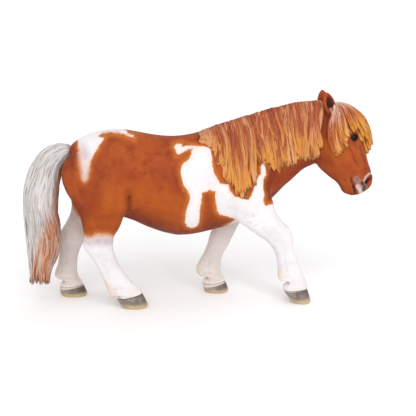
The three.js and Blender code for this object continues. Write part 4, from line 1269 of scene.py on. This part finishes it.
def tail_strand(angle, layer, start, length):
    table = np.array(TAIL, float)
    twist = draw.uniform(-0.2, 0.7)
    roll, roll_start = draw.uniform(2.0, 3.4), draw.uniform(*PHASES)
    tip = TAIL_TIPS[min(2, int(1.5 * (1 + math.cos(angle + twist))))]
    path, outs = [], []
    for stop in np.linspace(start, 1, 11):
        down = min(1, stop * length)
        rear_x, rear_z, front_x, front_z, half_width = along_line(table, down)
        around = angle + twist * down
        middle = np.array([(rear_x + front_x) / 2, 0, (rear_z + front_z) / 2])
        front = np.array([(front_x - rear_x) / 2, 0, (front_z - rear_z) / 2])
        out = front * math.cos(around) + np.array([0, half_width, 0]) * math.sin(around)
        reach = np.linalg.norm(out)
        sunk = layer["sunk"] + 5 * math.sin(2 * math.pi * roll * stop + roll_start) * min(1, 4 * stop)
        point = middle + out * max(0.1, 1 - sunk / max(reach, 1))
        gather = 0.8 * stop**6
        point[0] += (tip[0] - point[0]) * gather
        point[2] += (tip[1] - point[2]) * (0.9 if stop == 1 else 0)
        path.append(point)
        outs.append(out / max(reach, 1e-6))
    half = layer["half"] * draw.uniform(0.85, 1.2)
    return combed_strand(
        path, outs, half, thick=layer["thick"], waves=(8, 20), turns=(1.6, 3.2),
        tuft=0.66, tip=0.35, ragged=0.06,
    )


def tail_ginger(paint, hair, dark, streak):
    ginger, rust = paint.attribute("ginger"), paint.attribute("rust")
    uneven = paint.plus(paint.times(paint.attribute("tone"), 0.5), paint.times(streak, 0.8))
    hair = paint.washed(
        hair,
        (paint.times(ginger, paint.span(uneven, 0.42, 0.78, 0.15, 1)), colour(212, 132, 66)),
        (paint.times(rust, 0.85), colour(184, 98, 38)),
    )
    return hair, paint.mix(paint.times(paint.math("MAXIMUM", ginger, rust), 0.8), dark, colour(160, 84, 44))


strands, tones = [], []
for layer in TAIL_LAYERS:
    for i in range(layer["strands"]):
        angle = 2 * math.pi * (i + draw.uniform(-0.3, 0.3)) / layer["strands"]
        start = draw.uniform(0.02, 0.06) if i % 3 else draw.uniform(0.1, 0.3)
        strands.append(tail_strand(angle, layer, start, draw.uniform(0.93, 1.0)))
        tones.append(draw.random())
tail = hair_piece("tail_strands", strands, tones, columns=16)
# Ginger lies below a line that climbs towards the front, and rust along the front edge.
GINGER_X, GINGER_Z = (-960, -913, -859, -800), (230, 370, 532, 590)
RUST_X, RUST_Z = (-846, -772, -796, -768, -704), (112, 320, 545, 724, 812)
points = corners_of(tail)
ginger_from = np.interp(points[:, 0], GINGER_X, GINGER_Z)
ginger = softly(ginger_from - points[:, 2], -20, 170)
front_edge = np.interp(points[:, 2], RUST_Z, RUST_X)
rust = softly(points[:, 0] - front_edge, -34, -6) * softly(points[:, 2], 200, 420)
rust = np.maximum(rust, softly(ginger_from - points[:, 2], 120, 330) * 0.4)
painted(tail, "ginger", ginger)
painted(tail, "rust", rust)
tail.data.materials.append(
    hair_paint("painted tail", combing_group, TAIL_TINTS, gold_from=0.5, extra=tail_ginger)
)
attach(tail, "root")
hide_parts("tail")

# The room: a plain pale floor in soft studio light. A wide lamp hangs high on the camera's side, and a
# small one ahead of the pony puts a glint in its eye.
FLOOR_SIDE = 600
FLOOR_WHITE = (250, 250, 250)
SKY_STRENGTH = 0.9
LAMP_FROM = Vector((-0.12, -0.74, 0.66))
FRONT_LAMP_AT = Vector((1.5, -2.7, 1.9))
FRONT_LAMP_AIM = Vector((0.7, 0, 0.8))

bpy.ops.object.select_all(action="DESELECT")
bpy.ops.mesh.primitive_plane_add(size=FLOOR_SIDE, location=(0, 0, 0))
floor = bpy.context.object
floor.name = "floor"
floor.data.materials.append(Paint("pale floor").finish(colour(*FLOOR_WHITE), 0.9, 0.1))

world = bpy.data.worlds.new("studio")
bpy.context.scene.world = world
world.use_nodes = True
sky = world.node_tree.nodes["Background"].inputs
sky["Color"].default_value = (1, 1, 1, 1)
sky["Strength"].default_value = SKY_STRENGTH


def hung(kind, name, place, towards, energy):
    bpy.ops.object.select_all(action="DESELECT")
    bpy.ops.object.light_add(type=kind, location=place)
    lamp = bpy.context.object
    lamp.name = name
    lamp.data.energy = energy
    lamp.rotation_euler = towards.to_track_quat("-Z", "Y").to_euler()
    return lamp.data


hung("SUN", "studio_lamp", (0, -3, 5), -LAMP_FROM, energy=1.0).angle = math.radians(50)
hung("AREA", "front_lamp", FRONT_LAMP_AT, FRONT_LAMP_AIM - FRONT_LAMP_AT, energy=14).size = 0.5

# The camera: it looks a little down on the pony from its right side and a little from behind, at the
# photograph's angle and scale.
AZIMUTH = math.radians(-5)
ELEVATION = math.radians(14)
DISTANCE = 5.0
AIM_HEIGHT = 0.505
MILLIMETRES_PER_PIXEL = 5.35
FRAME_PIXELS = 416
SENSOR = 36
aim = Vector((shift, 0, AIM_HEIGHT))
back = Vector((
    math.sin(AZIMUTH) * math.cos(ELEVATION), -math.cos(AZIMUTH) * math.cos(ELEVATION), math.sin(ELEVATION),
))
bpy.ops.object.select_all(action="DESELECT")
bpy.ops.object.camera_add(location=aim + back * DISTANCE)
camera = bpy.context.object
camera.data.sensor_width = SENSOR
camera.data.lens = SENSOR * DISTANCE * 1000 / (MILLIMETRES_PER_PIXEL * FRAME_PIXELS)
camera.rotation_euler = (-back).to_track_quat("-Z", "Y").to_euler()
bpy.context.scene.camera = camera
bpy.context.scene.view_settings.view_transform = "Standard"
